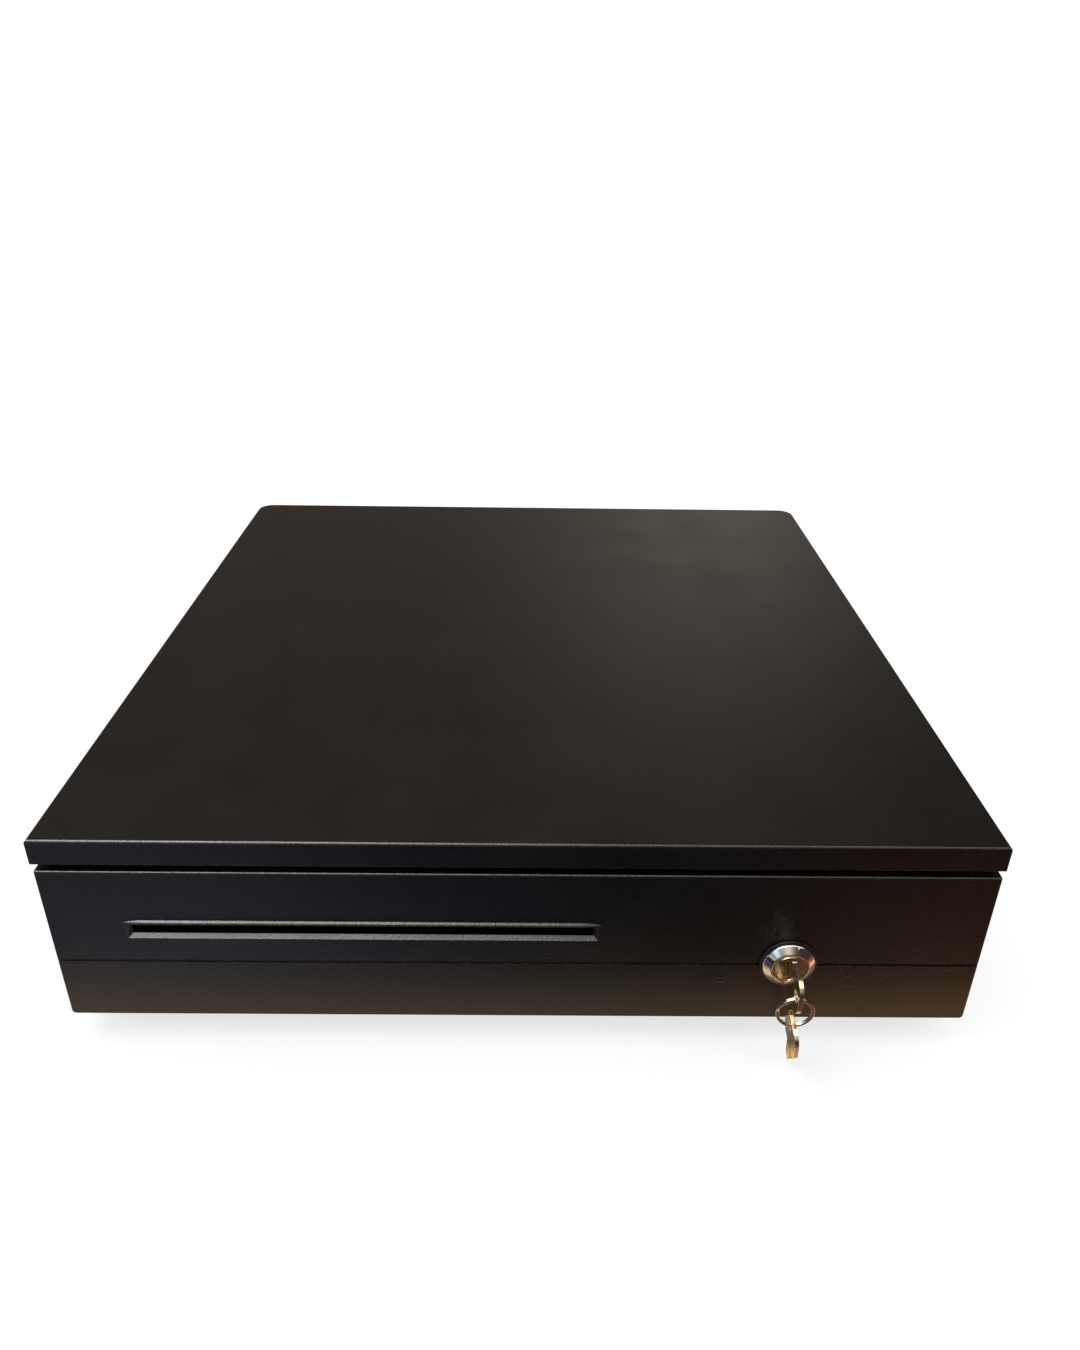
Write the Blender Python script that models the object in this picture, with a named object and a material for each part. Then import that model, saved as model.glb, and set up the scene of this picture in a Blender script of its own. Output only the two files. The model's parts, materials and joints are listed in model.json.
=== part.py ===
"""Steel cash drawer, 410 x 415 x 100 mm on 14 mm feet, with its till, lock, keys and electric latch.

Shapes are drawn in case coordinates: x to the right from the centre, y back from the front panel's face,
z up from the surface that the feet stand on. place() moves them so that the origin is the centre of the
whole footprint, on that surface. Each moving body is an empty on its joint's axis, at its rest pose.
"""

import math

import bmesh
import bpy
from mathutils import Matrix, Vector

MM = 0.001
GAP = 0.3 * MM            # clearance between touching pieces
SHEET = 1.0 * MM          # case and drawer sheet steel

# case
CASE_W = 410 * MM
CASE_D = 415 * MM
CASE_H = 100 * MM
FOOT_H = 14 * MM
LIP_H = 12.3 * MM         # folded front edge of the cover
REAR_CORNER_R = 10 * MM   # rear corners, seen from above
FOLD_R = 1.5 * MM         # outside radius of the cover's folds

# front panel
PANEL_W = 409.2 * MM
PANEL_H = 82.9 * MM
PANEL_D = 12 * MM
PANEL_T = 1.2 * MM
SEAM_Z = 33.1 * MM        # pressed line, above the panel's lower edge
SLOT_X = (-170.7 * MM, 34.1 * MM)
SLOT_Z = (46.3 * MM, 55.3 * MM)
SLOT_INSET = 1.7 * MM     # the slot's bevel
SLOT_DEPTH = 2.2 * MM

# lock and keys
LOCK_X = 119.3 * MM
LOCK_Z = 34.2 * MM        # above the panel's lower edge
BARREL_R = 9.2 * MM
PLUG_R = 7.5 * MM
BEZEL_R = 11.7 * MM
BEZEL_FACE_R = 8.6 * MM
BEZEL_BACK_Y = -1.2 * MM
BEZEL_FACE_Y = -3.9 * MM
CAM_LENGTH = 30.6 * MM
KEY_T = 1.9 * MM
BOW_L = 20 * MM
BOW_W = 18 * MM
BLADE_L = 14 * MM
BLADE_W = 5.6 * MM
SHOULDER_Y = -4.4 * MM    # where key 1 stops against the plug's face
HOLE_R = 3 * MM
HOLE_OUT = 15 * MM        # from the shoulder to the bow's hole
RING_R = 7.7 * MM         # centre line of the split ring
WIRE_R = 0.75 * MM
KEY_REACH = 27.5 * MM      # how far key 2's bow stands out from the panel
KEY_2_LEAN = 14           # degrees, the hung key's tip towards the case
KEY_2_ROLL = -7           # degrees sideways, about the front-to-back axis

# drawer, rails and rollers
TRAY_HALF_W = 186.6 * MM
TRAY_FRONT = 12.3 * MM
TRAY_BACK = 376 * MM
TRAY_Z = (22 * MM, 80 * MM)
RAIL_T = 1.3 * MM
RAIL_Z = (44 * MM, 72 * MM)
ROLLER_R = 7.5 * MM
ROLLER_W = 6 * MM
AXLE_R = 2 * MM
AXLE_HOLE_R = 2.3 * MM
CASE_ROLLER_Y = 26 * MM
DRAWER_ROLLER_Y = 364 * MM

# till
TILL_HALF_W = 184.5 * MM
TILL_Y = (32 * MM, 373.7 * MM)
TILL_Z = (36 * MM, 92 * MM)
TILL_WALL = 2.2 * MM
NOTE_FRONT = 172 * MM     # front of the note compartments
NOTE_COUNT = 5
COIN_COLUMNS = 4
COIN_ROWS = 2
CLIP_Y = 361 * MM
CLIP_Z = 86 * MM
CLIP_L = 104 * MM
CLIP_SLOPE = 22           # degrees below the horizontal at rest

# latch
LATCH_PIVOT = Vector((0, 404, 58)) * MM
LATCH_OPEN = 14           # degrees, the hook is stored lifted by this much
PLUNGER_Y = 392 * MM
EJECTOR_X = 130 * MM
EJECTOR_Z = 60 * MM
JACK_X = 90 * MM
JACK_Z = 38 * MM
SCREW_HEAD = 1.6 * MM

# derived levels
BASE_Z = FOOT_H
TOP_Z = BASE_Z + CASE_H
LIP_Z = TOP_Z - LIP_H
PANEL_Z = BASE_Z + 1 * MM
LOCK = Vector((LOCK_X, 0, PANEL_Z + LOCK_Z))
BARREL_END = 18 * MM
BACK_REACH = CASE_D + GAP + SCREW_HEAD
SHIFT = Vector((0, (KEY_REACH - BACK_REACH) / 2, 0))
INNER_HALF_W = CASE_W / 2 - SHEET
RING_TOP = LOCK + Vector((0, SHOULDER_Y - HOLE_OUT, -HOLE_R + WIRE_R + GAP))


# ---------------------------------------------------------------- shapes

def box(low, high):
    """A closed block between two opposite corners."""
    low, high = Vector(low), Vector(high)
    mesh = bmesh.new()
    bmesh.ops.create_cube(mesh, size=1)
    size, middle = high - low, (low + high) / 2
    matrix = Matrix.Translation(middle) @ Matrix.Diagonal((*size, 1))
    bmesh.ops.transform(mesh, matrix=matrix, verts=mesh.verts)
    return mesh


def spread(axis, along, a, b):
    """A point from its place along an axis and its other two coordinates, in X, Y, Z order."""
    return Vector({"X": (along, a, b), "Y": (a, along, b), "Z": (a, b, along)}[axis])


def prism(outline, axis, start, end):
    """An outline in the plane across an axis, extruded from start to end along it."""
    mesh = bmesh.new()
    near = [mesh.verts.new(spread(axis, start, a, b)) for a, b in outline]
    far = [mesh.verts.new(spread(axis, end, a, b)) for a, b in outline]
    mesh.faces.new(near)
    mesh.faces.new(list(reversed(far)))
    for i in range(len(outline)):
        j = (i + 1) % len(outline)
        mesh.faces.new((near[i], far[i], far[j], near[j]))
    bmesh.ops.recalc_face_normals(mesh, faces=mesh.faces)
    return mesh


def turned(profile, axis, centre, segments=32, ring=False):
    """A profile of (radius, distance along the axis) turned about the axis through centre."""
    mesh = bmesh.new()
    rows = []
    for radius, along in profile:
        count = segments if radius > 0 else 1
        row = []
        for k in range(count):
            angle = 2 * math.pi * k / segments
            point = spread(axis, along, radius * math.cos(angle), radius * math.sin(angle))
            row.append(mesh.verts.new(Vector(centre) + point))
        rows.append(row)
    pairs = list(zip(rows, rows[1:])) + ([(rows[-1], rows[0])] if ring else [])
    for row, following in pairs:
        for k in range(segments):
            n = (k + 1) % segments
            around = [row[k % len(row)], row[n % len(row)]]
            around += [following[n % len(following)], following[k % len(following)]]
            corners = [v for i, v in enumerate(around) if v not in around[:i]]
            if len(corners) > 2:
                mesh.faces.new(corners)
    bmesh.ops.recalc_face_normals(mesh, faces=mesh.faces)
    return mesh


def cylinder(axis, centre, radius, start, end, segments=24):
    return turned([(0, start), (radius, start), (radius, end), (0, end)], axis, centre, segments)


def sleeve(axis, centre, inner, outer, start, end, segments=24):
    shape = [(inner, start), (outer, start), (outer, end), (inner, end)]
    return turned(shape, axis, centre, segments, ring=True)


def arc(centre, radius, first, last, steps):
    """Points on an arc, with both ends, in degrees."""
    angles = [math.radians(first + (last - first) * k / steps) for k in range(steps + 1)]
    return [(centre[0] + radius * math.cos(t), centre[1] + radius * math.sin(t)) for t in angles]


def case_plan(half_w, front, back, radius):
    """The case seen from above: square front corners and rounded rear ones."""
    right = arc((half_w - radius, back - radius), radius, 0, 90, 5)
    left = arc((radius - half_w, back - radius), radius, 90, 180, 5)
    return [(-half_w, front), (half_w, front)] + right + left


def turn(mesh, degrees, axis, about):
    matrix = Matrix.Rotation(math.radians(degrees), 3, axis)
    bmesh.ops.rotate(mesh, verts=mesh.verts, cent=about, matrix=matrix)
    return mesh


# ---------------------------------------------------------------- objects

def clear_scene():
    for old in list(bpy.data.objects):
        bpy.data.objects.remove(old, do_unlink=True)


def material(name, colour, roughness, metallic):
    made = bpy.data.materials.new(name)
    made.use_nodes = True
    shader = made.node_tree.nodes["Principled BSDF"]
    shader.inputs["Base Color"].default_value = (*colour, 1)
    shader.inputs["Roughness"].default_value = roughness
    shader.inputs["Metallic"].default_value = metallic
    made.diffuse_color = (*colour, 1)
    return made


def body(name, pivot, parent=None):
    """An empty at a body's joint, to which its pieces are parented."""
    empty = bpy.data.objects.new(name, None)
    empty["pivot"] = Vector(pivot)
    empty.location = Vector(pivot) + SHIFT if parent is None else Vector(pivot) - Vector(parent["pivot"])
    empty.parent = parent
    empty.empty_display_size = 10 * MM
    bpy.context.scene.collection.objects.link(empty)
    return empty


def place(name, mesh, owner):
    """An object from a bmesh in case coordinates, parented to its body."""
    bmesh.ops.translate(mesh, verts=mesh.verts, vec=-Vector(owner["pivot"]))
    data = bpy.data.meshes.new(name)
    mesh.to_mesh(data)
    mesh.free()
    made = bpy.data.objects.new(name, data)
    made.parent = owner
    bpy.context.scene.collection.objects.link(made)
    return made


def piece(name, mesh, look, owner, smooth=False):
    made = place(name, mesh, owner)
    made.data.materials.append(look)
    if smooth:
        made.data.shade_smooth()
        made.data.set_sharp_from_angle(angle=math.radians(35))
    return made


def combine(target, operation, meshes):
    for number, mesh in enumerate(meshes, len(target.modifiers) + 1):
        tool = place(f"{target.name}_tool_{number}", mesh, target.parent)
        tool.hide_render = True
        tool.display_type = "WIRE"
        step = target.modifiers.new(f"{operation.lower()}_{number}", "BOOLEAN")
        step.operation = operation
        step.solver = "EXACT"
        step.object = tool
    return target


def cut(target, *meshes):
    return combine(target, "DIFFERENCE", meshes)


def add(target, *meshes):
    return combine(target, "UNION", meshes)


# ---------------------------------------------------------------- case

def make_cover(looks, case):
    """Top, sides, back and front lip, folded from one sheet and open below."""
    plan = case_plan(CASE_W / 2, 0, CASE_D, REAR_CORNER_R)
    shell = prism(plan, "Z", BASE_Z, TOP_Z)
    top_edges = [e for e in shell.edges if all(abs(v.co.z - TOP_Z) < GAP for v in e.verts)]
    bmesh.ops.bevel(shell, geom=top_edges, offset=FOLD_R, segments=3, affect="EDGES", profile=0.5)
    cover = piece("cover", shell, looks["coat"], case, smooth=True)
    inside = case_plan(INNER_HALF_W, SHEET, CASE_D - SHEET, REAR_CORNER_R - SHEET)
    front = box((-CASE_W, -SHEET, 0), (CASE_W, PANEL_D + SHEET, LIP_Z))
    jack = box((JACK_X - 8.3 * MM, CASE_D - 3 * MM, JACK_Z - 8.3 * MM),
               (JACK_X + 8.3 * MM, CASE_D + SHEET, JACK_Z + 8.3 * MM))
    cut(cover, prism(inside, "Z", 0, TOP_Z - SHEET), front, jack, *screw_holes())


def screw_places():
    return [(x * MM, BASE_Z + 8 * MM) for x in (-185, -65, 65, 185)]


def screw_holes():
    start, end = CASE_D - 5 * MM, CASE_D + SHEET
    return [cylinder("Y", (x, 0, z), 2 * MM, start, end, 16) for x, z in screw_places()]


def make_base(looks, case):
    """Floor with upturned edges, low at the front so that the drawer clears it."""
    half_w, front, back = INNER_HALF_W - GAP, PANEL_D + 2 * MM, CASE_D - SHEET - GAP
    radius = REAR_CORNER_R - SHEET - GAP
    outer = case_plan(half_w, front, back, radius)
    inner = case_plan(half_w - SHEET, front + SHEET, back - SHEET, radius - SHEET)
    pan = piece("base_pan", prism(outer, "Z", BASE_Z, BASE_Z + 14 * MM), looks["coat"], case)
    low_front = box((-CASE_W, 0, BASE_Z + 6 * MM), (CASE_W, front + 3 * MM, TOP_Z))
    cut(pan, prism(inner, "Z", BASE_Z + SHEET, TOP_Z), low_front, *screw_holes())
    for number, (x, z) in enumerate(screw_places(), 1):
        head = CASE_D + GAP
        shape = [(0, head - 8 * MM), (1.6 * MM, head - 8 * MM), (1.6 * MM, head), (3.6 * MM, head),
                 (3.2 * MM, head + SCREW_HEAD), (0, head + SCREW_HEAD)]
        piece(f"cover_screw_{number}", turned(shape, "Y", (x, 0, z), 16), looks["zinc"], case, smooth=True)


def make_feet(looks, case):
    for side, x in (("left", -165 * MM), ("right", 165 * MM)):
        for end, y in (("front", 45 * MM), ("rear", 372 * MM)):
            top = BASE_Z - GAP
            shape = [(5 * MM, 0), (9.2 * MM, 0), (10 * MM, 0.8 * MM), (12 * MM, top), (0, top),
                     (0, 7 * MM), (5 * MM, 7 * MM)]
            mesh = turned(shape, "Z", (x, y, 0), 24, ring=True)
            piece(f"foot_{end}_{side}", mesh, looks["rubber"], case, smooth=True)


def make_catch(looks, case):
    """Angle on the floor, in front of the turned lock cam."""
    y, z = 16 * MM, BASE_Z + SHEET + GAP
    outline = [(y, z), (y + 12 * MM, z), (y + 12 * MM, z + SHEET), (y + 1.5 * MM, z + SHEET),
               (y + 1.5 * MM, z + 6 * MM), (y, z + 6 * MM)]
    piece("lock_catch", prism(outline, "X", LOCK_X - 14 * MM, LOCK_X + 14 * MM), looks["zinc"], case)


def make_rails(looks, case, drawer):
    """Channels on the case, angles on the drawer, and the four rollers that carry one on the other."""
    wall = INNER_HALF_W - GAP
    low, high = RAIL_Z
    top_of_roller = 64.4 * MM
    case_roller_z = top_of_roller - ROLLER_R
    drawer_roller_z = low + RAIL_T + GAP + ROLLER_R
    for side, sign in (("left", -1), ("right", 1)):
        inner = wall - 11 * MM
        channel = [(wall, low), (wall, high), (inner, high), (inner, high - RAIL_T),
                   (wall - RAIL_T, high - RAIL_T), (wall - RAIL_T, low + RAIL_T), (inner, low + RAIL_T),
                   (inner, low)]
        outline = [(sign * x, z) for x, z in channel]
        piece(f"case_rail_{side}", prism(outline, "Y", 16 * MM, 396 * MM), looks["zinc"], case)

        web = TRAY_HALF_W + GAP
        flange = top_of_roller + GAP
        angle = [(web, 48 * MM), (web + RAIL_T, 48 * MM), (web + RAIL_T, flange), (web + 9 * MM, flange),
                 (web + 9 * MM, flange + RAIL_T), (web, flange + RAIL_T)]
        outline = [(sign * x, z) for x, z in angle]
        piece(f"drawer_rail_{side}", prism(outline, "Y", 14 * MM, 374 * MM), looks["zinc"], drawer)

        wheel = 191.4 * MM
        front, rear = (0, CASE_ROLLER_Y, case_roller_z), (0, DRAWER_ROLLER_Y, drawer_roller_z)
        make_roller(f"case_roller_{side}", looks, case, front, sign, wheel,
                    wheel - 1.2 * MM, wall - RAIL_T - GAP)
        make_roller(f"drawer_roller_{side}", looks, drawer, rear, sign, wheel,
                    web + RAIL_T + GAP, wheel + ROLLER_W + 1.2 * MM)


def make_roller(name, looks, carrier, centre, sign, wheel, axle_in, axle_out):
    """A nylon wheel on its own body, and its axle on the carrier."""
    middle = Vector(centre) + Vector((sign * (wheel + ROLLER_W / 2), 0, 0))
    spinner = body(name + "_spin", middle, carrier)
    ends = sorted((sign * wheel, sign * (wheel + ROLLER_W)))
    rim = 0.6 * MM
    shape = [(AXLE_HOLE_R, ends[0]), (ROLLER_R - rim, ends[0]), (ROLLER_R, ends[0] + rim),
             (ROLLER_R, ends[1] - rim), (ROLLER_R - rim, ends[1]), (AXLE_HOLE_R, ends[1])]
    piece(name, turned(shape, "X", centre, 28, ring=True), looks["nylon"], spinner, smooth=True)
    ends = sorted((sign * axle_in, sign * axle_out))
    piece(name + "_axle", cylinder("X", centre, AXLE_R, *ends, 16), looks["zinc"], carrier, smooth=True)


# ---------------------------------------------------------------- front panel and tray

def slot_funnel(grow):
    """The cheque slot's tapered mouth, larger by grow on every side."""
    (x0, x1), (z0, z1) = SLOT_X, (PANEL_Z + SLOT_Z[0], PANEL_Z + SLOT_Z[1])
    mouth = box((x0 - grow, -SHEET, z0 - grow), (x1 + grow, SLOT_DEPTH, z1 + grow))
    slope = SLOT_INSET / SLOT_DEPTH
    for corner in mouth.verts:
        inward = slope * corner.co.y
        corner.co.x += inward if corner.co.x < (x0 + x1) / 2 else -inward
        corner.co.z += inward if corner.co.z < (z0 + z1) / 2 else -inward
    return mouth


def make_panel(looks, drawer):
    """Front panel: a shallow pan, open behind, with the seam, the drawn slot and the lock's hole."""
    half_w, top = PANEL_W / 2, PANEL_Z + PANEL_H
    corner = 2 * MM
    outline = ([(-half_w + 0.8 * MM, top), (-half_w, top - 0.8 * MM)]
               + arc((corner - half_w, PANEL_Z + corner), corner, 180, 270, 4)
               + arc((half_w - corner, PANEL_Z + corner), corner, 270, 360, 4)
               + [(half_w, top - 0.8 * MM), (half_w - 0.8 * MM, top)])
    shell = prism(outline, "Y", 0, PANEL_D)
    front_edges = [e for e in shell.edges if all(abs(v.co.y) < GAP for v in e.verts)]
    bmesh.ops.bevel(shell, geom=front_edges, offset=1 * MM, segments=2, affect="EDGES", profile=0.5)
    panel = piece("front_panel", shell, looks["coat"], drawer, smooth=True)
    cut(panel, box((PANEL_T - half_w, PANEL_T, PANEL_Z + PANEL_T),
                   (half_w - PANEL_T, PANEL_D + MM, top - PANEL_T)))

    collar = slot_funnel(1.1 * MM)
    bmesh.ops.translate(collar, verts=collar.verts, vec=(0, 0.3 * MM, 0))
    everything = collar.verts[:] + collar.edges[:] + collar.faces[:]
    bmesh.ops.bisect_plane(collar, geom=everything, dist=0, plane_co=(0, 0.6 * MM, 0),
                           plane_no=(0, -1, 0), clear_outer=True)
    bmesh.ops.holes_fill(collar, edges=[e for e in collar.edges if e.is_boundary])
    add(panel, collar)
    mouth = slot_funnel(0)
    inset_x, inset_z = SLOT_INSET + 0.2 * MM, SLOT_INSET + 0.05 * MM
    throat = box((SLOT_X[0] + inset_x, 0, PANEL_Z + SLOT_Z[0] + inset_z),
                 (SLOT_X[1] - inset_x, PANEL_D, PANEL_Z + SLOT_Z[1] - inset_z))
    seam_z = PANEL_Z + SEAM_Z
    groove = [(-SHEET, seam_z - 0.7 * MM), (0.5 * MM, seam_z), (-SHEET, seam_z + 0.7 * MM)]
    seam = prism(groove, "X", -CASE_W, CASE_W)
    hole = cylinder("Y", LOCK, BARREL_R + GAP, -SHEET, PANEL_D, 32)
    cut(panel, mouth, throat, seam, hole)

    for side, x in (("left", -199 * MM), ("right", 173 * MM)):
        far, front, back = x + 26 * MM, PANEL_T + GAP, TRAY_FRONT - GAP
        profile = [(x, front), (far, front), (far, back), (far - SHEET, back), (far - SHEET, front + SHEET),
                   (x + SHEET, front + SHEET), (x + SHEET, back), (x, back)]
        piece(f"panel_bracket_{side}", prism(profile, "Z", 26 * MM, 76 * MM), looks["zinc"], drawer)


def make_tray(looks, drawer):
    """Sheet-steel drawer with openings for the slot, the lock barrel and the lock cam."""
    low, high = TRAY_Z
    shell = box((-TRAY_HALF_W, TRAY_FRONT, low), (TRAY_HALF_W, TRAY_BACK, high))
    tray = piece("drawer_tray", shell, looks["coat"], drawer)
    room = box((SHEET - TRAY_HALF_W, TRAY_FRONT + SHEET, low + SHEET),
               (TRAY_HALF_W - SHEET, TRAY_BACK - SHEET, TOP_Z))
    through = 16 * MM
    slot = box((SLOT_X[0], TRAY_FRONT - MM, PANEL_Z + SLOT_Z[0] - 2 * MM),
               (SLOT_X[1], through, PANEL_Z + SLOT_Z[1] + MM))
    barrel = cylinder("Y", LOCK, BARREL_R + 1.2 * MM, TRAY_FRONT - MM, through, 24)
    cam_sweep = box((LOCK_X - 9 * MM, 17 * MM, low - MM), (LOCK_X + 25 * MM, 24 * MM, low + 3 * MM))
    cut(tray, room, slot, barrel, cam_sweep)

    wall = TRAY_HALF_W - SHEET - GAP
    shelf = TILL_Z[0] - GAP
    for side, sign in (("left", -1), ("right", 1)):
        inner = wall - 14 * MM
        ledge = [(wall, low + SHEET + GAP), (wall, shelf), (inner, shelf), (inner, shelf - SHEET),
                 (wall - SHEET, shelf - SHEET), (wall - SHEET, low + SHEET + GAP)]
        outline = [(sign * x, z) for x, z in ledge]
        piece(f"till_ledge_{side}", prism(outline, "Y", 40 * MM, 368 * MM), looks["zinc"], drawer)

    back = TRAY_FRONT + SHEET + GAP
    hood = [(back, 77 * MM), (back, 71 * MM), (back + SHEET, 71 * MM), (back + SHEET, 74.6 * MM),
            (28 * MM, 59.3 * MM), (28.8 * MM, 59.9 * MM), (back + SHEET + 0.6 * MM, 77 * MM)]
    piece("cheque_chute", prism(hood, "X", SLOT_X[0] + 2 * MM, SLOT_X[1] - 2 * MM), looks["zinc"], drawer)


# ---------------------------------------------------------------- till

def make_till(looks, drawer):
    """Moulded till with note compartments behind and a well for the coin tray in front."""
    low, high = TILL_Z
    front, back = TILL_Y
    block = box((-TILL_HALF_W, front, low), (TILL_HALF_W, back, high))
    till = piece("till", block, looks["abs"], drawer)
    inner = TILL_HALF_W - TILL_WALL
    floor = low + TILL_WALL
    cut(till, box((-inner, front + TILL_WALL, floor), (inner, NOTE_FRONT - TILL_WALL, TOP_Z)))
    for left, right in note_spans():
        cut(till, box((left, NOTE_FRONT, floor), (right, back - TILL_WALL, TOP_Z)))
    room = AXLE_HOLE_R + 0.1 * MM
    rod_notch = box((-inner, CLIP_Y - room, CLIP_Z - room), (inner, CLIP_Y + room, TOP_Z))
    grips = [box((sign * TILL_HALF_W - 4 * MM, 150 * MM, high - 7 * MM),
                 (sign * TILL_HALF_W + 4 * MM, 215 * MM, TOP_Z)) for sign in (-1, 1)]
    cut(till, rod_notch, *grips)

    rod = cylinder("X", (0, CLIP_Y, CLIP_Z), AXLE_R, GAP - inner, inner - GAP, 16)
    piece("clip_rod", rod, looks["zinc"], drawer, smooth=True)


def note_spans():
    """Left and right edges of each note compartment."""
    inner = TILL_HALF_W - TILL_WALL
    pitch = (2 * inner + TILL_WALL) / NOTE_COUNT
    return [(-inner + k * pitch, -inner + (k + 1) * pitch - TILL_WALL) for k in range(NOTE_COUNT)]


def make_coin_tray(looks, drawer):
    """Lift-out tray of rounded coin cups."""
    half_w = TILL_HALF_W - TILL_WALL - 0.4 * MM
    front, back = TILL_Y[0] + TILL_WALL + 0.4 * MM, NOTE_FRONT - TILL_WALL - 0.4 * MM
    low, high = TILL_Z[0] + TILL_WALL + GAP, TILL_Z[1] - 6 * MM
    wall = 2 * MM
    tray = piece("coin_tray", box((-half_w, front, low), (half_w, back, high)), looks["abs"], drawer)
    cup_w = (2 * half_w - wall) / COIN_COLUMNS - wall
    cup_d = (back - front - wall) / COIN_ROWS - wall
    for row in range(COIN_ROWS):
        for column in range(COIN_COLUMNS):
            x = -half_w + wall + column * (cup_w + wall)
            y = front + wall + row * (cup_d + wall)
            cut(tray, cup_hollow(x, y, low + wall, cup_w, cup_d))


def cup_hollow(x, y, z, width, depth):
    """A cup's inside, scooped at its front and back so that coins slide up."""
    scoop = 18 * MM
    outline = arc((y + scoop, z + scoop), scoop, 180, 270, 4)
    outline += arc((y + depth - scoop, z + scoop), scoop, 270, 360, 4)
    outline += [(y + depth, TOP_Z), (y, TOP_Z)]
    return prism(outline, "X", x, x + width)


def make_clips(looks, drawer):
    """Sprung arms that hold the notes down, hinged on one rod."""
    for number, (left, right) in enumerate(note_spans(), 1):
        middle = (left + right) / 2
        pivot = Vector((middle, CLIP_Y, CLIP_Z))
        arm_body = body(f"note_clip_{number}_hinge", pivot, drawer)
        outline = arc((CLIP_Y, CLIP_Z), 4.4 * MM, -100, 155, 10)
        outline += [(CLIP_Y - 12 * MM, CLIP_Z + 1.2 * MM), (CLIP_Y - CLIP_L + 12 * MM, CLIP_Z + 0.6 * MM)]
        outline += arc((CLIP_Y - CLIP_L + 6 * MM, CLIP_Z - 3 * MM), 6 * MM, 110, 260, 6)
        outline += [(CLIP_Y - CLIP_L + 9 * MM, CLIP_Z - 1.6 * MM), (CLIP_Y - 12 * MM, CLIP_Z - 1 * MM)]
        arm = prism(outline, "X", middle - 13 * MM, middle + 13 * MM)
        for corner in arm.verts:
            reach = (CLIP_Y - corner.co.y) / CLIP_L
            corner.co.x = middle + (corner.co.x - middle) * (1 - 0.35 * max(0, min(1, reach)))
        made = piece(f"note_clip_{number}", turn(arm, CLIP_SLOPE, "X", pivot), looks["abs"], arm_body)
        cut(made, cylinder("X", pivot, AXLE_HOLE_R, -20 * MM, 20 * MM, 20))


# ---------------------------------------------------------------- lock and keys

def make_lock(looks, drawer):
    """Cam lock: washer, bezel and barrel, nut, and the plug that turns the cam."""
    washer = sleeve("Y", LOCK, BARREL_R + GAP, 13 * MM, BEZEL_BACK_Y + GAP, -GAP, 32)
    piece("lock_washer", washer, looks["black"], drawer, smooth=True)
    bore = PLUG_R + 0.15 * MM
    shape = [(bore, BEZEL_FACE_Y), (BEZEL_FACE_R, BEZEL_FACE_Y), (BEZEL_R, BEZEL_BACK_Y - 0.5 * MM),
             (BEZEL_R, BEZEL_BACK_Y), (BARREL_R, BEZEL_BACK_Y), (BARREL_R, BARREL_END), (bore, BARREL_END)]
    barrel = turned(shape, "Y", LOCK, 40, ring=True)
    piece("lock_barrel", barrel, looks["chrome"], drawer, smooth=True)
    hexagon = [(LOCK.x + a, LOCK.z + b) for a, b in arc((0, 0), 13.5 * MM, 0, 300, 5)]
    nut = piece("lock_nut", prism(hexagon, "Y", PANEL_T + GAP, PANEL_T + 4 * MM), looks["zinc"], drawer)
    cut(nut, cylinder("Y", LOCK, BARREL_R + GAP, 0, PANEL_D, 32))

    plug_body = body("lock_turn", LOCK, drawer)
    tail = BARREL_END + 0.4 * MM
    core = cylinder("Y", LOCK, PLUG_R, BEZEL_FACE_Y + 0.2 * MM, tail, 40)
    plug = piece("lock_plug", core, looks["chrome"], plug_body, smooth=True)
    half = 3 * MM
    add(plug, box(LOCK + Vector((-half, tail - MM, -half)), LOCK + Vector((half, tail + 4 * MM, half))))
    keyway = box(LOCK + Vector((-KEY_T / 2 - GAP, -10 * MM, -BLADE_W / 2 - GAP)),
                 LOCK + Vector((KEY_T / 2 + GAP, BARREL_END - 2 * MM, BLADE_W / 2 + GAP)))
    cut(plug, keyway)

    cam_y = tail + GAP
    outline = arc((LOCK.x, LOCK.z), 9 * MM, 40, 320, 10)
    outline += arc((LOCK.x + CAM_LENGTH - 5 * MM, LOCK.z), 5 * MM, -90, 90, 5)
    cam = piece("lock_cam", prism(outline, "Y", cam_y, cam_y + 2 * MM), looks["zinc"], plug_body)
    hole = half + GAP
    cut(cam, box(LOCK + Vector((-hole, 0, -hole)), LOCK + Vector((hole, 40 * MM, hole))))
    head = tail + 4 * MM + GAP
    screw = [(0, head), (4.8 * MM, head), (4.8 * MM, head + 1.4 * MM), (3.6 * MM, head + 2.2 * MM),
             (0, head + 2.2 * MM)]
    piece("cam_screw", turned(screw, "Y", LOCK, 20), looks["zinc"], plug_body, smooth=True)
    return plug_body


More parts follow.
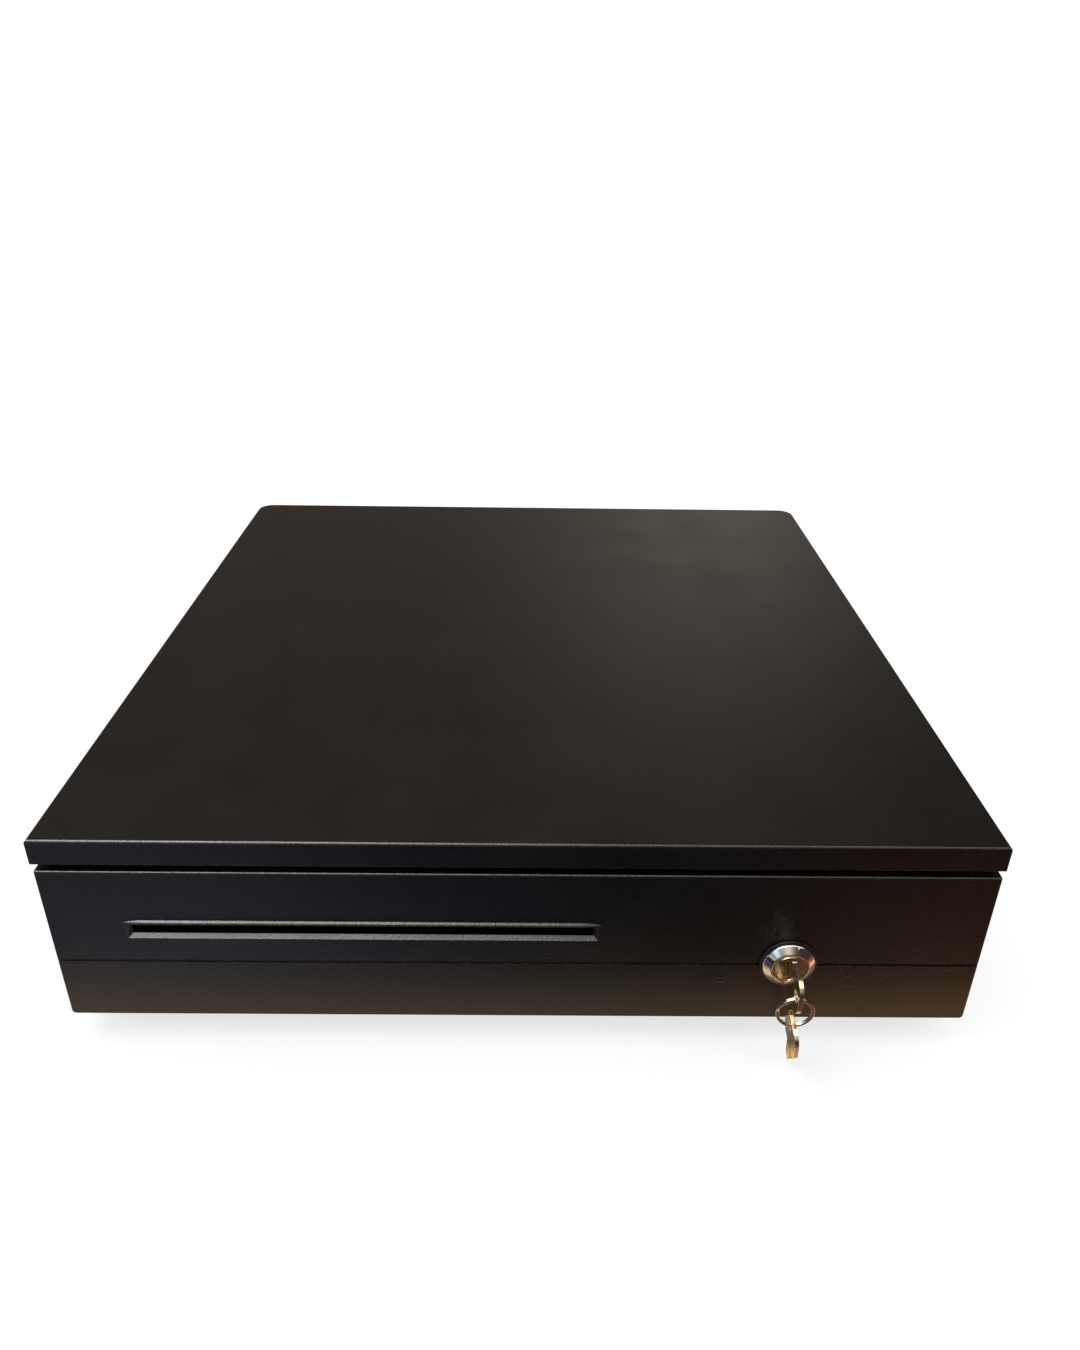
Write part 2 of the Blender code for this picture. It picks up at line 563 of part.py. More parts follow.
def key_shape(x, blade_end):
    """A flat key with its shoulder at the origin, its blade along +Y and its bow along -Y."""
    half, tip = BLADE_W / 2, 2.6 * MM
    bow_half, round_r = BOW_W / 2, 6 * MM
    outline = [(0, half), (blade_end - tip, half), (blade_end, 0.4 * MM)]
    outline += [(blade_end - 2 * MM, -half + 1 * MM)]
    for number in range(4):
        at = blade_end - 4.2 * MM - number * 3 * MM
        depth = (1.9, 1.0, 1.5, 0.7)[number] * MM
        outline += [(at + 0.9 * MM, -half), (at, -half + depth)]
        outline += [(at - 0.9 * MM, -half + depth), (at - 1.5 * MM, -half)]
    outline += [(0, -half), (-0.6 * MM, -bow_half + 5 * MM)]
    outline += arc((-round_r, -bow_half + round_r), round_r, -30, -90, 3)
    outline += arc((round_r - BOW_L, -bow_half + round_r), round_r, -90, -180, 4)
    outline += arc((round_r - BOW_L, bow_half - round_r), round_r, -180, -270, 4)
    outline += arc((-round_r, bow_half - round_r), round_r, 90, 30, 3)
    outline += [(-0.6 * MM, bow_half - 5 * MM)]
    return prism(outline, "X", x - KEY_T / 2, x + KEY_T / 2)


def bow_hole():
    return cylinder("X", (0, -HOLE_OUT, 0), HOLE_R, -10 * MM, 10 * MM, 20)


def make_keys(looks, plug_body):
    """Key 1 in the plug, the split ring through its bow, and key 2 hung from the ring."""
    seat = LOCK + Vector((0, SHOULDER_Y, 0))
    key_body = body("key_1_pull", seat, plug_body)
    carry = Matrix.Translation(seat)
    blank, hole = key_shape(0, BLADE_L), bow_hole()
    for mesh in (blank, hole):
        bmesh.ops.transform(mesh, matrix=carry, verts=mesh.verts)
    cut(piece("key_1", blank, looks["key"], key_body, smooth=True), hole)

    ring_body = body("ring_swing", RING_TOP, key_body)
    centre = RING_TOP - Vector((0, 0, RING_R))
    section = [(RING_R + a, b) for a, b in arc((0, 0), WIRE_R, 0, 315, 7)]
    piece("key_ring", turned(section, "Y", centre, 32, ring=True), looks["chrome"], ring_body, smooth=True)

    hang = centre - Vector((0, 0, RING_R))
    second = body("key_2_swing", hang, ring_body)
    bridge = HOLE_OUT + HOLE_R - WIRE_R - GAP
    carry = (Matrix.Translation(hang) @ Matrix.Rotation(math.radians(KEY_2_ROLL), 4, "Y")
             @ Matrix.Rotation(math.radians(KEY_2_LEAN - 90), 4, "X") @ Matrix.Translation((0, bridge, 0)))
    blank, hole = key_shape(0, BLADE_L), bow_hole()
    for mesh in (blank, hole):
        bmesh.ops.transform(mesh, matrix=carry, verts=mesh.verts)
    cut(piece("key_2", blank, looks["key"], second, smooth=True), hole)


# ---------------------------------------------------------------- latch and electrics

def make_latch(looks, case, drawer):
    """Hook on a case bracket, lifted by a solenoid, that drops behind the drawer's striker."""
    pivot = LATCH_PIVOT
    back = TRAY_BACK + GAP
    outline = [(back, 32 * MM), (back + 1.2 * MM, 32 * MM), (back + 1.2 * MM, 44 * MM), (390 * MM, 44 * MM),
               (390 * MM, 49.5 * MM), (388.5 * MM, 49.5 * MM), (388.5 * MM, 45.4 * MM), (back, 45.4 * MM)]
    piece("drawer_striker", prism(outline, "X", -9 * MM, 9 * MM), looks["zinc"], drawer)

    floor = BASE_Z + SHEET + GAP
    top = 71.7 * MM
    cheek, sheet = 5.8 * MM, 1.2 * MM
    half = [(22 * MM, floor), (22 * MM, floor + sheet), (cheek + sheet, floor + sheet),
            (cheek + sheet, top - sheet), (13 * MM, top - sheet), (13 * MM, top), (cheek, top),
            (cheek, floor + sheet)]
    outline = half + [(-x, z) for x, z in reversed(half)]
    bracket = piece("latch_bracket", prism(outline, "Y", 396 * MM, 411 * MM), looks["zinc"], case)
    cut(bracket, cylinder("X", pivot, AXLE_HOLE_R, -20 * MM, 20 * MM, 16))
    pin = cylinder("X", pivot, AXLE_R, -8.6 * MM, 8.6 * MM, 16)
    piece("latch_pin", pin, looks["steel"], case, smooth=True)

    hook_body = body("latch_hinge", pivot, case)
    y, z = pivot.y, pivot.z
    shape = [(y + 4.5 * MM, z - 4 * MM), (y + 4.5 * MM, z + 4 * MM), (y - 20 * MM, z + 3.5 * MM),
             (y - 20.5 * MM, 51 * MM), (y - 18 * MM, 46.6 * MM), (y - 16.2 * MM, 46.6 * MM),
             (y - 16 * MM, z - 3.5 * MM)]
    lifted = turn(prism(shape, "X", -2 * MM, 2 * MM), -LATCH_OPEN, "X", pivot)
    hook = piece("latch_hook", lifted, looks["steel"], hook_body)
    cut(hook, cylinder("X", pivot, AXLE_HOLE_R, -10 * MM, 10 * MM, 16))

    deck, sheet = top + GAP, 1.5 * MM
    near, far, roof = 382 * MM, 408 * MM, deck + 30 * MM
    yoke = [(near, deck), (far, deck), (far, roof), (near, roof), (near, roof - sheet),
            (far - sheet, roof - sheet), (far - sheet, deck + sheet), (near, deck + sheet)]
    frame = piece("solenoid_frame", prism(yoke, "X", -12 * MM, 12 * MM), looks["zinc"], case)
    axis = Vector((0, PLUNGER_Y, 0))
    cut(frame, cylinder("Z", axis, 4.7 * MM, deck - MM, deck + 3 * MM, 24))
    flange, winding = 10.5 * MM, 9.5 * MM
    coil = [(4.6 * MM, deck + 2 * MM), (flange, deck + 2 * MM), (flange, deck + 3.6 * MM),
            (winding, deck + 3.6 * MM), (winding, deck + 26 * MM), (flange, deck + 26 * MM),
            (flange, deck + 27.6 * MM), (4.6 * MM, deck + 27.6 * MM)]
    piece("solenoid_coil", turned(coil, "Z", axis, 28, ring=True), looks["coil"], case, smooth=True)

    tip = 66.4 * MM
    plunger_body = body("plunger_slide", Vector((0, PLUNGER_Y, deck)), case)
    shape = [(0, tip), (1.5 * MM, tip), (1.5 * MM, deck - 2 * MM), (4.2 * MM, deck - 1 * MM),
             (4.2 * MM, deck + 22 * MM), (0, deck + 22 * MM)]
    piece("solenoid_plunger", turned(shape, "Z", axis, 20), looks["steel"], plunger_body, smooth=True)


def make_ejectors(looks, case):
    """Two springs that start the drawer moving, each round a post on the back wall."""
    wall = CASE_D - SHEET - GAP
    for side, sign in (("left", -1), ("right", 1)):
        centre = (sign * EJECTOR_X, 0, EJECTOR_Z)
        post = [(0, 392 * MM), (3 * MM, 392 * MM), (3.4 * MM, wall - 2 * MM), (9 * MM, wall - 2 * MM),
                (9 * MM, wall), (0, wall)]
        piece(f"ejector_post_{side}", turned(post, "Y", centre, 20), looks["zinc"], case, smooth=True)
        start, end = TRAY_BACK + 1.6 * MM, wall - 3.4 * MM
        spring = coil_tube(centre, 5.6 * MM, 0.8 * MM, start, end, 6)
        place_curve(f"ejector_spring_{side}", spring, looks["steel"], case)


def coil_tube(centre, radius, wire, start, end, turns):
    """Centre line and wire size of a coil spring along Y."""
    steps = 14 * turns
    points = []
    for k in range(steps + 1):
        angle = 2 * math.pi * turns * k / steps
        y = start + (end - start) * k / steps
        points.append(Vector(centre) + spread("Y", y, radius * math.cos(angle), radius * math.sin(angle)))
    return points, wire


def place_curve(name, route, look, owner):
    """A round wire or lead along a list of points, with closed ends."""
    points, radius = route
    data = bpy.data.curves.new(name, "CURVE")
    data.dimensions = "3D"
    data.bevel_depth = radius
    data.bevel_resolution = 1
    data.use_fill_caps = True
    line = data.splines.new("POLY")
    line.points.add(len(points) - 1)
    for slot, point in zip(line.points, points):
        slot.co = (*(point - Vector(owner["pivot"])), 1)
    data.materials.append(look)
    made = bpy.data.objects.new(name, data)
    made.parent = owner
    bpy.context.scene.collection.objects.link(made)


def make_jack(looks, case):
    """Six-way socket in the back wall, and the lead from it to the solenoid."""
    face = CASE_D - 0.4 * MM
    half = 8 * MM
    housing = box((JACK_X - half, face - 16 * MM, JACK_Z - half), (JACK_X + half, face, JACK_Z + half))
    jack = piece("rear_jack", housing, looks["black"], case)
    deep = face - 12 * MM
    port = box((JACK_X - 5 * MM, deep, JACK_Z - 3.6 * MM), (JACK_X + 5 * MM, face + MM, JACK_Z + 3.6 * MM))
    latch_notch = box((JACK_X - 2 * MM, deep, JACK_Z - 5.4 * MM), (JACK_X + 2 * MM, face + MM, JACK_Z))
    cut(jack, port, latch_notch)
    route = ((90, 397.4, 38), (84, 391, 38), (54, 394, 50), (30, 404, 76), (19, 399, 88), (11.4, 393, 88))
    waypoints = [Vector(p) * MM for p in route]
    place_curve("solenoid_lead", (smooth_route(waypoints, 5), 1.4 * MM), looks["black"], case)


def smooth_route(points, steps):
    """Points of a Catmull-Rom curve through a list of waypoints."""
    ends = [2 * points[0] - points[1]] + points + [2 * points[-1] - points[-2]]
    route = []
    for a, b, c, d in zip(ends, ends[1:], ends[2:], ends[3:]):
        for k in range(steps):
            t = k / steps
            bend = (2 * a - 5 * b + 4 * c - d) * t ** 2 + (3 * b - a - 3 * c + d) * t ** 3
            route.append(0.5 * (2 * b + (c - a) * t + bend))
    return route + [points[-1]]


# ---------------------------------------------------------------- build

def main():
    clear_scene()
    looks = {
        "coat": material("black powder coat", (0.018, 0.016, 0.016), 0.42, 0.0),
        "zinc": material("zinc plated steel", (0.55, 0.56, 0.57), 0.38, 1.0),
        "steel": material("bright steel", (0.6, 0.6, 0.6), 0.3, 1.0),
        "chrome": material("chrome", (0.78, 0.77, 0.75), 0.12, 1.0),
        "key": material("nickel brass", (0.74, 0.66, 0.48), 0.28, 1.0),
        "rubber": material("foot rubber", (0.02, 0.02, 0.02), 0.85, 0.0),
        "nylon": material("white nylon", (0.82, 0.81, 0.77), 0.5, 0.0),
        "abs": material("black moulded till", (0.03, 0.03, 0.032), 0.5, 0.0),
        "black": material("black plastic", (0.015, 0.015, 0.016), 0.45, 0.0),
        "coil": material("coil tape", (0.05, 0.09, 0.16), 0.5, 0.0),
    }
    case = body("case", (0, 0, 0))
    drawer = body("drawer_slide", (0, 0, PANEL_Z), case)
    make_cover(looks, case)
    make_base(looks, case)
    make_feet(looks, case)
    make_catch(looks, case)
    make_rails(looks, case, drawer)
    make_panel(looks, drawer)
    make_tray(looks, drawer)
    make_till(looks, drawer)
    make_coin_tray(looks, drawer)
    make_clips(looks, drawer)
    plug_body = make_lock(looks, drawer)
    make_keys(looks, plug_body)
    make_latch(looks, case, drawer)
    make_ejectors(looks, case)
    make_jack(looks, case)


main()
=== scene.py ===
import json
import math

import bmesh
import bpy
from mathutils import Matrix, Vector


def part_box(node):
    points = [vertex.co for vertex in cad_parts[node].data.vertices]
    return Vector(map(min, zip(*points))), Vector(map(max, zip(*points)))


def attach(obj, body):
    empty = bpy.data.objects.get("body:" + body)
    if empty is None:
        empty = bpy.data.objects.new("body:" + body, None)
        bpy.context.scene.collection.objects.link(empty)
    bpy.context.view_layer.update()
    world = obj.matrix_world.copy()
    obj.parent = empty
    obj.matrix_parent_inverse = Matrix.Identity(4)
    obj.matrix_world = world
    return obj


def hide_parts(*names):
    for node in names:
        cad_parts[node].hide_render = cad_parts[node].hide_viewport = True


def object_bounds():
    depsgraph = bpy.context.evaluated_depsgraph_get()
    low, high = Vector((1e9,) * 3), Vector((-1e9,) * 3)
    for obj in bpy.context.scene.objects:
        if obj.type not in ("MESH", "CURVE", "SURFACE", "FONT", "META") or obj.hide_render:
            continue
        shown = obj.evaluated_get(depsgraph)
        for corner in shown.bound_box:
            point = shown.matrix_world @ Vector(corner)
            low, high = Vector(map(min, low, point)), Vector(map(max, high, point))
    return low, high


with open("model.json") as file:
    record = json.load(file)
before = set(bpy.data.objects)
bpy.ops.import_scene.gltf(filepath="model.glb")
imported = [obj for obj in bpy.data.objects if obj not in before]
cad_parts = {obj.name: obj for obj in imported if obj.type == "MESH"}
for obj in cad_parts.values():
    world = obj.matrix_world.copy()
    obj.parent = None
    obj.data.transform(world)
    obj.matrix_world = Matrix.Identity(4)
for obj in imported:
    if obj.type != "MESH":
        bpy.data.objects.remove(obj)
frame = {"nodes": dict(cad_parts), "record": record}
cad_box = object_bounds()

# The looks of a black steel cash drawer: its cover, front panel, lock, keys, till and small steel parts.
# Lengths are in metres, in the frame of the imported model.

MM = 0.001
NODES = frame["nodes"]      # the CAD objects by node name
BODY_OF = {node: body for body, nodes in frame["record"]["behaviour"]["bodies"].items() for node in nodes}


# ---------------------------------------------------------------- shapes

def spread(axis, along, a, b):
    """A point from its place along an axis and its other two coordinates, in X, Y, Z order."""
    return Vector({"X": (along, a, b), "Y": (a, along, b), "Z": (a, b, along)}[axis])


def block(low, high):
    """A box from its lowest to its highest corner."""
    low, high = Vector(low), Vector(high)
    mesh = bmesh.new()
    bmesh.ops.create_cube(mesh, size=1)
    size = Matrix.Diagonal((*(high - low), 1))
    bmesh.ops.transform(mesh, matrix=Matrix.Translation((low + high) / 2) @ size, verts=mesh.verts)
    return mesh


def prism(outline, axis, start, end):
    """An outline in the plane across an axis, extruded along it."""
    mesh = bmesh.new()
    near = [mesh.verts.new(spread(axis, start, a, b)) for a, b in outline]
    far = [mesh.verts.new(spread(axis, end, a, b)) for a, b in outline]
    mesh.faces.new(near)
    mesh.faces.new(list(reversed(far)))
    for i in range(len(outline)):
        j = (i + 1) % len(outline)
        mesh.faces.new((near[i], far[i], far[j], near[j]))
    bmesh.ops.recalc_face_normals(mesh, faces=mesh.faces)
    return mesh


def turned(profile, axis, centre, segments=64, ring=False):
    """A profile of (radius, distance along the axis) turned about the axis through centre. A ring's profile closes."""
    mesh = bmesh.new()
    rows = []
    for radius, along in profile:
        count = segments if radius > 0 else 1
        angles = [2 * math.pi * k / segments for k in range(count)]
        rows.append([mesh.verts.new(Vector(centre) + spread(axis, along, radius * math.cos(t), radius * math.sin(t)))
                     for t in angles])
    pairs = list(zip(rows, rows[1:])) + ([(rows[-1], rows[0])] if ring else [])
    for row, following in pairs:
        for k in range(segments):
            n = (k + 1) % segments
            corners = []
            for vert in (row[k % len(row)], row[n % len(row)], following[n % len(following)],
                         following[k % len(following)]):
                if vert not in corners:
                    corners.append(vert)
            if len(corners) > 2:
                mesh.faces.new(corners)
    bmesh.ops.recalc_face_normals(mesh, faces=mesh.faces)
    return mesh


def arc(centre, radius, first, last, steps):
    """Points on an arc, with both ends, in degrees."""
    angles = [math.radians(first + (last - first) * k / steps) for k in range(steps + 1)]
    return [(centre[0] + radius * math.cos(t), centre[1] + radius * math.sin(t)) for t in angles]


def sweep(count, section):
    """A tube through count cross-sections, with closed ends: section(k) gives the points of the k-th."""
    mesh = bmesh.new()
    rows = [[mesh.verts.new(p) for p in section(k)] for k in range(count)]
    sides = len(rows[0])
    for row, following in zip(rows, rows[1:]):
        for i in range(sides):
            j = (i + 1) % sides
            mesh.faces.new((row[i], row[j], following[j], following[i]))
    mesh.faces.new(list(reversed(rows[0])))
    mesh.faces.new(rows[-1])
    bmesh.ops.recalc_face_normals(mesh, faces=mesh.faces)
    return mesh


def coil(centre, axis, radius, wire, start, end, turns, steps=16, sides=8):
    """A round wire, of radius wire, coiled about an axis from start to end along it."""
    count = int(turns * steps)
    path, outs = [], []
    for k in range(count + 1):
        angle = 2 * math.pi * turns * k / count
        out = spread(axis, 0, math.cos(angle), math.sin(angle))
        path.append(Vector(centre) + out * radius + spread(axis, start + (end - start) * k / count, 0, 0))
        outs.append(out)
    along = spread(axis, 1, 0, 0)

    def section(k):
        return [path[k] + outs[k] * wire * math.cos(t) + along * wire * math.sin(t)
                for t in (2 * math.pi * i / sides for i in range(sides))]
    return sweep(len(path), section)


def solid(name, mesh):
    """An object from a bmesh."""
    data = bpy.data.meshes.new(name)
    mesh.to_mesh(data)
    mesh.free()
    made = bpy.data.objects.new(name, data)
    bpy.context.scene.collection.objects.link(made)
    return made


def settle_mesh(target):
    """Applies the modifiers."""
    bpy.context.view_layer.update()
    graph = bpy.context.evaluated_depsgraph_get()
    made = bpy.data.meshes.new_from_object(target.evaluated_get(graph))
    target.modifiers.clear()
    old, target.data = target.data, made
    bpy.data.meshes.remove(old)
    made.name = target.name
    return target


def combine(target, operation, *meshes):
    """Boolean of the target with each mesh in turn."""
    tools = []
    for mesh in meshes:
        tool = solid(target.name + "_tool", mesh)
        step = target.modifiers.new("combine", "BOOLEAN")
        step.operation, step.solver, step.object = operation, "EXACT", tool
        tools.append(tool)
    settle_mesh(target)
    for tool in tools:
        bpy.data.meshes.remove(tool.data)
    return target


def cut(target, *meshes):
    return combine(target, "DIFFERENCE", *meshes)


SAME_POINT = 0.002 * MM
SAME_PLANE = math.radians(0.3)


def clean(target, merge):
    """Joins doubled points and, with merge, flat neighbours into one face, so that a bevel sees only real edges."""
    mesh = bmesh.new()
    mesh.from_mesh(target.data)
    bmesh.ops.remove_doubles(mesh, verts=mesh.verts, dist=SAME_POINT)
    if merge:
        bmesh.ops.dissolve_limit(mesh, angle_limit=SAME_PLANE, verts=mesh.verts, edges=mesh.edges)
        bmesh.ops.recalc_face_normals(mesh, faces=mesh.faces)
    mesh.to_mesh(target.data)
    mesh.free()


def round_edges(target, width, segments=2, angle=30, merge=True):
    """Rolls over the edges sharper than angle and keeps the flats flat. A mesh whose flats have holes isn't merged."""
    clean(target, merge)
    for face in target.data.polygons:
        face.use_smooth = True
    step = target.modifiers.new("edge", "BEVEL")
    step.width, step.segments, step.limit_method = width, segments, "ANGLE"
    step.angle_limit = math.radians(angle)
    step.miter_outer = "MITER_ARC"
    step.use_clamp_overlap = True
    step = target.modifiers.new("normals", "WEIGHTED_NORMAL")
    step.keep_sharp = True
    return settle_mesh(target)


def smooth(target, angle=35):
    """Smooth shading, with the edges sharper than angle left sharp."""
    target.data.shade_smooth()
    target.data.set_sharp_from_angle(angle=math.radians(angle))
    return target


# ---------------------------------------------------------------- materials

def add_node(tree, kind, inputs=None, **settings):
    """A shader node with its settings, and each input linked to a socket or set to a value."""
    node = tree.nodes.new(kind)
    for key, value in settings.items():
        setattr(node, key, value)
    for key, value in (inputs or {}).items():
        socket = node.inputs[key]
        if isinstance(value, bpy.types.NodeSocket):
            tree.links.new(value, socket)
        else:
            socket.default_value = value
    return node


def ranged(tree, value, low, high, to_low, to_high):
    return add_node(tree, "ShaderNodeMapRange", {"Value": value, "From Min": low, "From Max": high,
                                                 "To Min": to_low, "To Max": to_high}).outputs["Result"]


def calc(tree, operation, *values):
    return add_node(tree, "ShaderNodeMath", dict(enumerate(values)), operation=operation).outputs[0]


def noise(tree, place, scale, detail=2.0, rough=0.5):
    return add_node(tree, "ShaderNodeTexNoise", {"Vector": place, "Scale": scale, "Detail": detail,
                                                 "Roughness": rough}).outputs["Fac"]


def mixed(tree, factor, a, b, **settings):
    """The colour inputs of a Mix node are its sockets 6 and 7, and the colour output is 2."""
    return add_node(tree, "ShaderNodeMix", {0: factor, 6: a, 7: b}, data_type="RGBA", **settings).outputs[2]


def rgb(*values):
    """A colour with its alpha."""
    return (*values, 1)


class Look:
    """A Principled material: two colours blotched together, an uneven roughness, and what the calls below add."""

    def __init__(self, name, dark, light, roughness, metallic=0.0, blotch=30, stretch=None, **fixed):
        self.material = bpy.data.materials.new(name)
        self.material.use_nodes = True
        self.tree = tree = self.material.node_tree
        self.shader = tree.nodes["Principled BSDF"]
        self.shader.inputs["Metallic"].default_value = metallic
        for key, value in fixed.items():
            self.shader.inputs[key.replace("_", " ")].default_value = value
        place = add_node(tree, "ShaderNodeTexCoord").outputs["Object"]
        self.place = place
        self.grainy = place
        if stretch:
            self.grainy = add_node(tree, "ShaderNodeMapping", {"Vector": place, "Scale": stretch}).outputs[0]
        cloud = noise(tree, place, blotch, 5.0, 0.6)
        self.colour = mixed(tree, ranged(tree, cloud, 0.3, 0.7, 0, 1), rgb(*dark), rgb(*light))
        low, high = roughness
        self.rough = ranged(tree, noise(tree, self.grainy, blotch * 3.1, 4.0), 0.3, 0.7, low, high)
        self.normal = None
        self.material.diffuse_color = rgb(*light)

    def bump(self, scale, depth, strength=1.0, detail=2.0):
        """Fine relief, depth in metres."""
        height = noise(self.tree, self.grainy, scale, detail)
        inputs = {"Height": height, "Strength": strength, "Distance": depth}
        if self.normal:
            inputs["Normal"] = self.normal
        self.normal = add_node(self.tree, "ShaderNodeBump", inputs).outputs["Normal"]
        return self

    def wear(self, colour, amount, radius=0.8 * MM, rough=0.3, scale=400):
        """A surface rubbed lighter, in patches, along its edges."""
        tree = self.tree
        rounded = add_node(tree, "ShaderNodeBevel", {"Radius": radius}, samples=4).outputs["Normal"]
        flat = add_node(tree, "ShaderNodeNewGeometry").outputs["Normal"]
        same = add_node(tree, "ShaderNodeVectorMath", {0: rounded, 1: flat}, operation="DOT_PRODUCT")
        edge = ranged(tree, same.outputs["Value"], 0.995, 0.93, 0, 1)
        patchy = ranged(tree, noise(tree, self.place, scale, 3.0), 0.42, 0.62, 0, amount)
        mask = calc(tree, "MULTIPLY", edge, patchy)
        self.colour = mixed(tree, mask, self.colour, rgb(*colour))
        kept = calc(tree, "MULTIPLY", self.rough, calc(tree, "SUBTRACT", 1.0, mask))
        self.rough = calc(tree, "ADD", kept, calc(tree, "MULTIPLY", mask, rough))
        return self

    def specks(self, colour, scale, size, share, amount=1.0):
        """Sparse dust: a round speck in a share of the cells of a grid, scale cells to the metre."""
        tree = self.tree
        cells = add_node(tree, "ShaderNodeTexVoronoi", {"Vector": self.place, "Scale": scale, "Randomness": 1.0})
        pick = add_node(tree, "ShaderNodeSeparateColor", {"Color": cells.outputs["Color"]}).outputs[0]
        chosen = calc(tree, "LESS_THAN", pick, share)
        near = ranged(tree, cells.outputs["Distance"], size * scale, size * scale * 0.4, 0, amount)
        self.colour = mixed(tree, calc(tree, "MULTIPLY", chosen, near), self.colour, rgb(*colour))
        return self

    def scratches(self, stretch, scale, colour, share=0.62, amount=0.5):
        """Hairlines, along the axis that isn't stretched."""
        tree = self.tree
        place = add_node(tree, "ShaderNodeMapping", {"Vector": self.place, "Scale": stretch}).outputs[0]
        lines = ranged(tree, noise(tree, place, scale, 2.0, 0.7), share, share + 0.05, 0, amount)
        self.colour = mixed(tree, lines, self.colour, rgb(*colour))
        return self

    def done(self):
        """The finished material."""
        tree = self.tree
        tree.links.new(self.colour, self.shader.inputs["Base Color"])
        tree.links.new(self.rough, self.shader.inputs["Roughness"])
        if self.normal:
            tree.links.new(self.normal, self.shader.inputs["Normal"])
        return self.material


def make_looks():
    """Every material of the drawer, by its short name."""
    coat = (Look("powder coat", (0.0012, 0.0011, 0.001), (0.002, 0.0018, 0.0017), (0.28, 0.35), blotch=9,
                 Specular_IOR_Level=0.5)
            .bump(1000, 0.16 * MM, 0.75, 2.0)
            .wear((0.055, 0.05, 0.045), 0.35)
            .specks((0.0085, 0.008, 0.0075), 1000, 0.4 * MM, 0.45)
            .specks((0.3, 0.29, 0.27), 17, 0.35 * MM, 0.10)
            .specks((0.05, 0.047, 0.042), 60, 0.22 * MM, 0.16))
    zinc = (Look("zinc plated steel", (0.42, 0.43, 0.45), (0.58, 0.58, 0.57), (0.26, 0.42), 1.0, blotch=45,
                 stretch=(1, 0.12, 1)).bump(900, 0.02 * MM, 0.3)
            .scratches((1, 0.06, 1), 700, (0.68, 0.68, 0.66)).wear((0.66, 0.66, 0.64), 0.5, 0.4 * MM, 0.25))
    steel = (Look("bright steel", (0.5, 0.5, 0.5), (0.62, 0.62, 0.61), (0.2, 0.34), 1.0, blotch=120)
             .bump(2500, 0.01 * MM, 0.3).scratches((1, 1, 0.1), 1500, (0.72, 0.72, 0.7)))
    chrome = (Look("chrome", (0.70, 0.69, 0.67), (0.78, 0.77, 0.75), (0.05, 0.1), 1.0, blotch=300)
              .bump(1200, 0.004 * MM, 0.2).scratches((1, 0.2, 1), 2600, (0.6, 0.58, 0.55), 0.66, 0.35))
    plug = (Look("lock plug face", (0.55, 0.42, 0.24), (0.68, 0.55, 0.36), (0.1, 0.2), 1.0, blotch=500)
            .bump(1800, 0.003 * MM, 0.15).scratches((1, 0.2, 1), 3000, (0.4, 0.32, 0.2), 0.62, 0.4))
    key = (Look("nickel brass", (0.66, 0.55, 0.35), (0.80, 0.71, 0.52), (0.13, 0.26), 1.0, blotch=260)
           .bump(2600, 0.01 * MM, 0.3).scratches((0.15, 1, 1), 3000, (0.9, 0.84, 0.7))
           .wear((0.9, 0.84, 0.68), 0.7, 0.4 * MM, 0.12))
    rubber = (Look("foot rubber", (0.016, 0.016, 0.016), (0.028, 0.027, 0.026), (0.7, 0.9), blotch=150)
              .bump(2400, 0.05 * MM, 0.6).wear((0.06, 0.058, 0.055), 0.4))
    nylon = (Look("white nylon", (0.70, 0.68, 0.62), (0.80, 0.79, 0.74), (0.38, 0.52), blotch=120,
                  Subsurface_Weight=0.1).bump(2500, 0.02 * MM, 0.3).wear((0.5, 0.48, 0.43), 0.4))
    till = (Look("black moulded till", (0.016, 0.016, 0.017), (0.024, 0.024, 0.025), (0.42, 0.55), blotch=25)
            .bump(1500, 0.05 * MM, 0.55, 4.0).wear((0.07, 0.07, 0.07), 0.4)
            .scratches((1, 0.05, 1), 260, (0.045, 0.045, 0.045)))
    plastic = (Look("black plastic", (0.004, 0.004, 0.0045), (0.007, 0.007, 0.0075), (0.42, 0.55), blotch=200,
                    Specular_IOR_Level=0.3)
               .bump(2600, 0.02 * MM, 0.4).wear((0.05, 0.05, 0.05), 0.3))
    tape = (Look("coil tape", (0.03, 0.06, 0.14), (0.05, 0.09, 0.19), (0.4, 0.55), blotch=300)
            .bump(1400, 0.05 * MM, 0.5).scratches((1, 1, 0.02), 900, (0.08, 0.13, 0.24)))
    gold = (Look("gold contact", (0.75, 0.55, 0.22), (0.85, 0.66, 0.3), (0.15, 0.25), 1.0, blotch=600)
            .bump(3000, 0.005 * MM, 0.2))
    made = {"coat": coat, "zinc": zinc, "steel": steel, "chrome": chrome, "plug": plug, "key": key,
            "rubber": rubber, "nylon": nylon, "till": till, "plastic": plastic, "tape": tape, "gold": gold}
    return {name: look.done() for name, look in made.items()}


LOOKS = make_looks()


def finish_piece(made, body, look, *nodes):
    """Gives a piece its body, its look and the CAD nodes that it stands for."""
    made.data.materials.clear()
    made.data.materials.append(LOOKS[look])
    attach(made, body)
    if nodes:
        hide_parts(*nodes)
    return made


def refine(node, look, width, segments=2, angle=30, merge=True):
    """The CAD solid again, with its edges rolled over."""
    made = bpy.data.objects.new(node + "_part", NODES[node].data.copy())
    bpy.context.scene.collection.objects.link(made)
    round_edges(made, width, segments, angle, merge)
    return finish_piece(made, BODY_OF[node], look, node)


# ---------------------------------------------------------------- case

SHEET = 1.0 * MM
FOLD_R = 1.5 * MM
CORNER_R = 10 * MM      # rear corners, seen from above
LIP_H = 12.3 * MM       # the cover's front lip
SCREWS = range(1, 5)


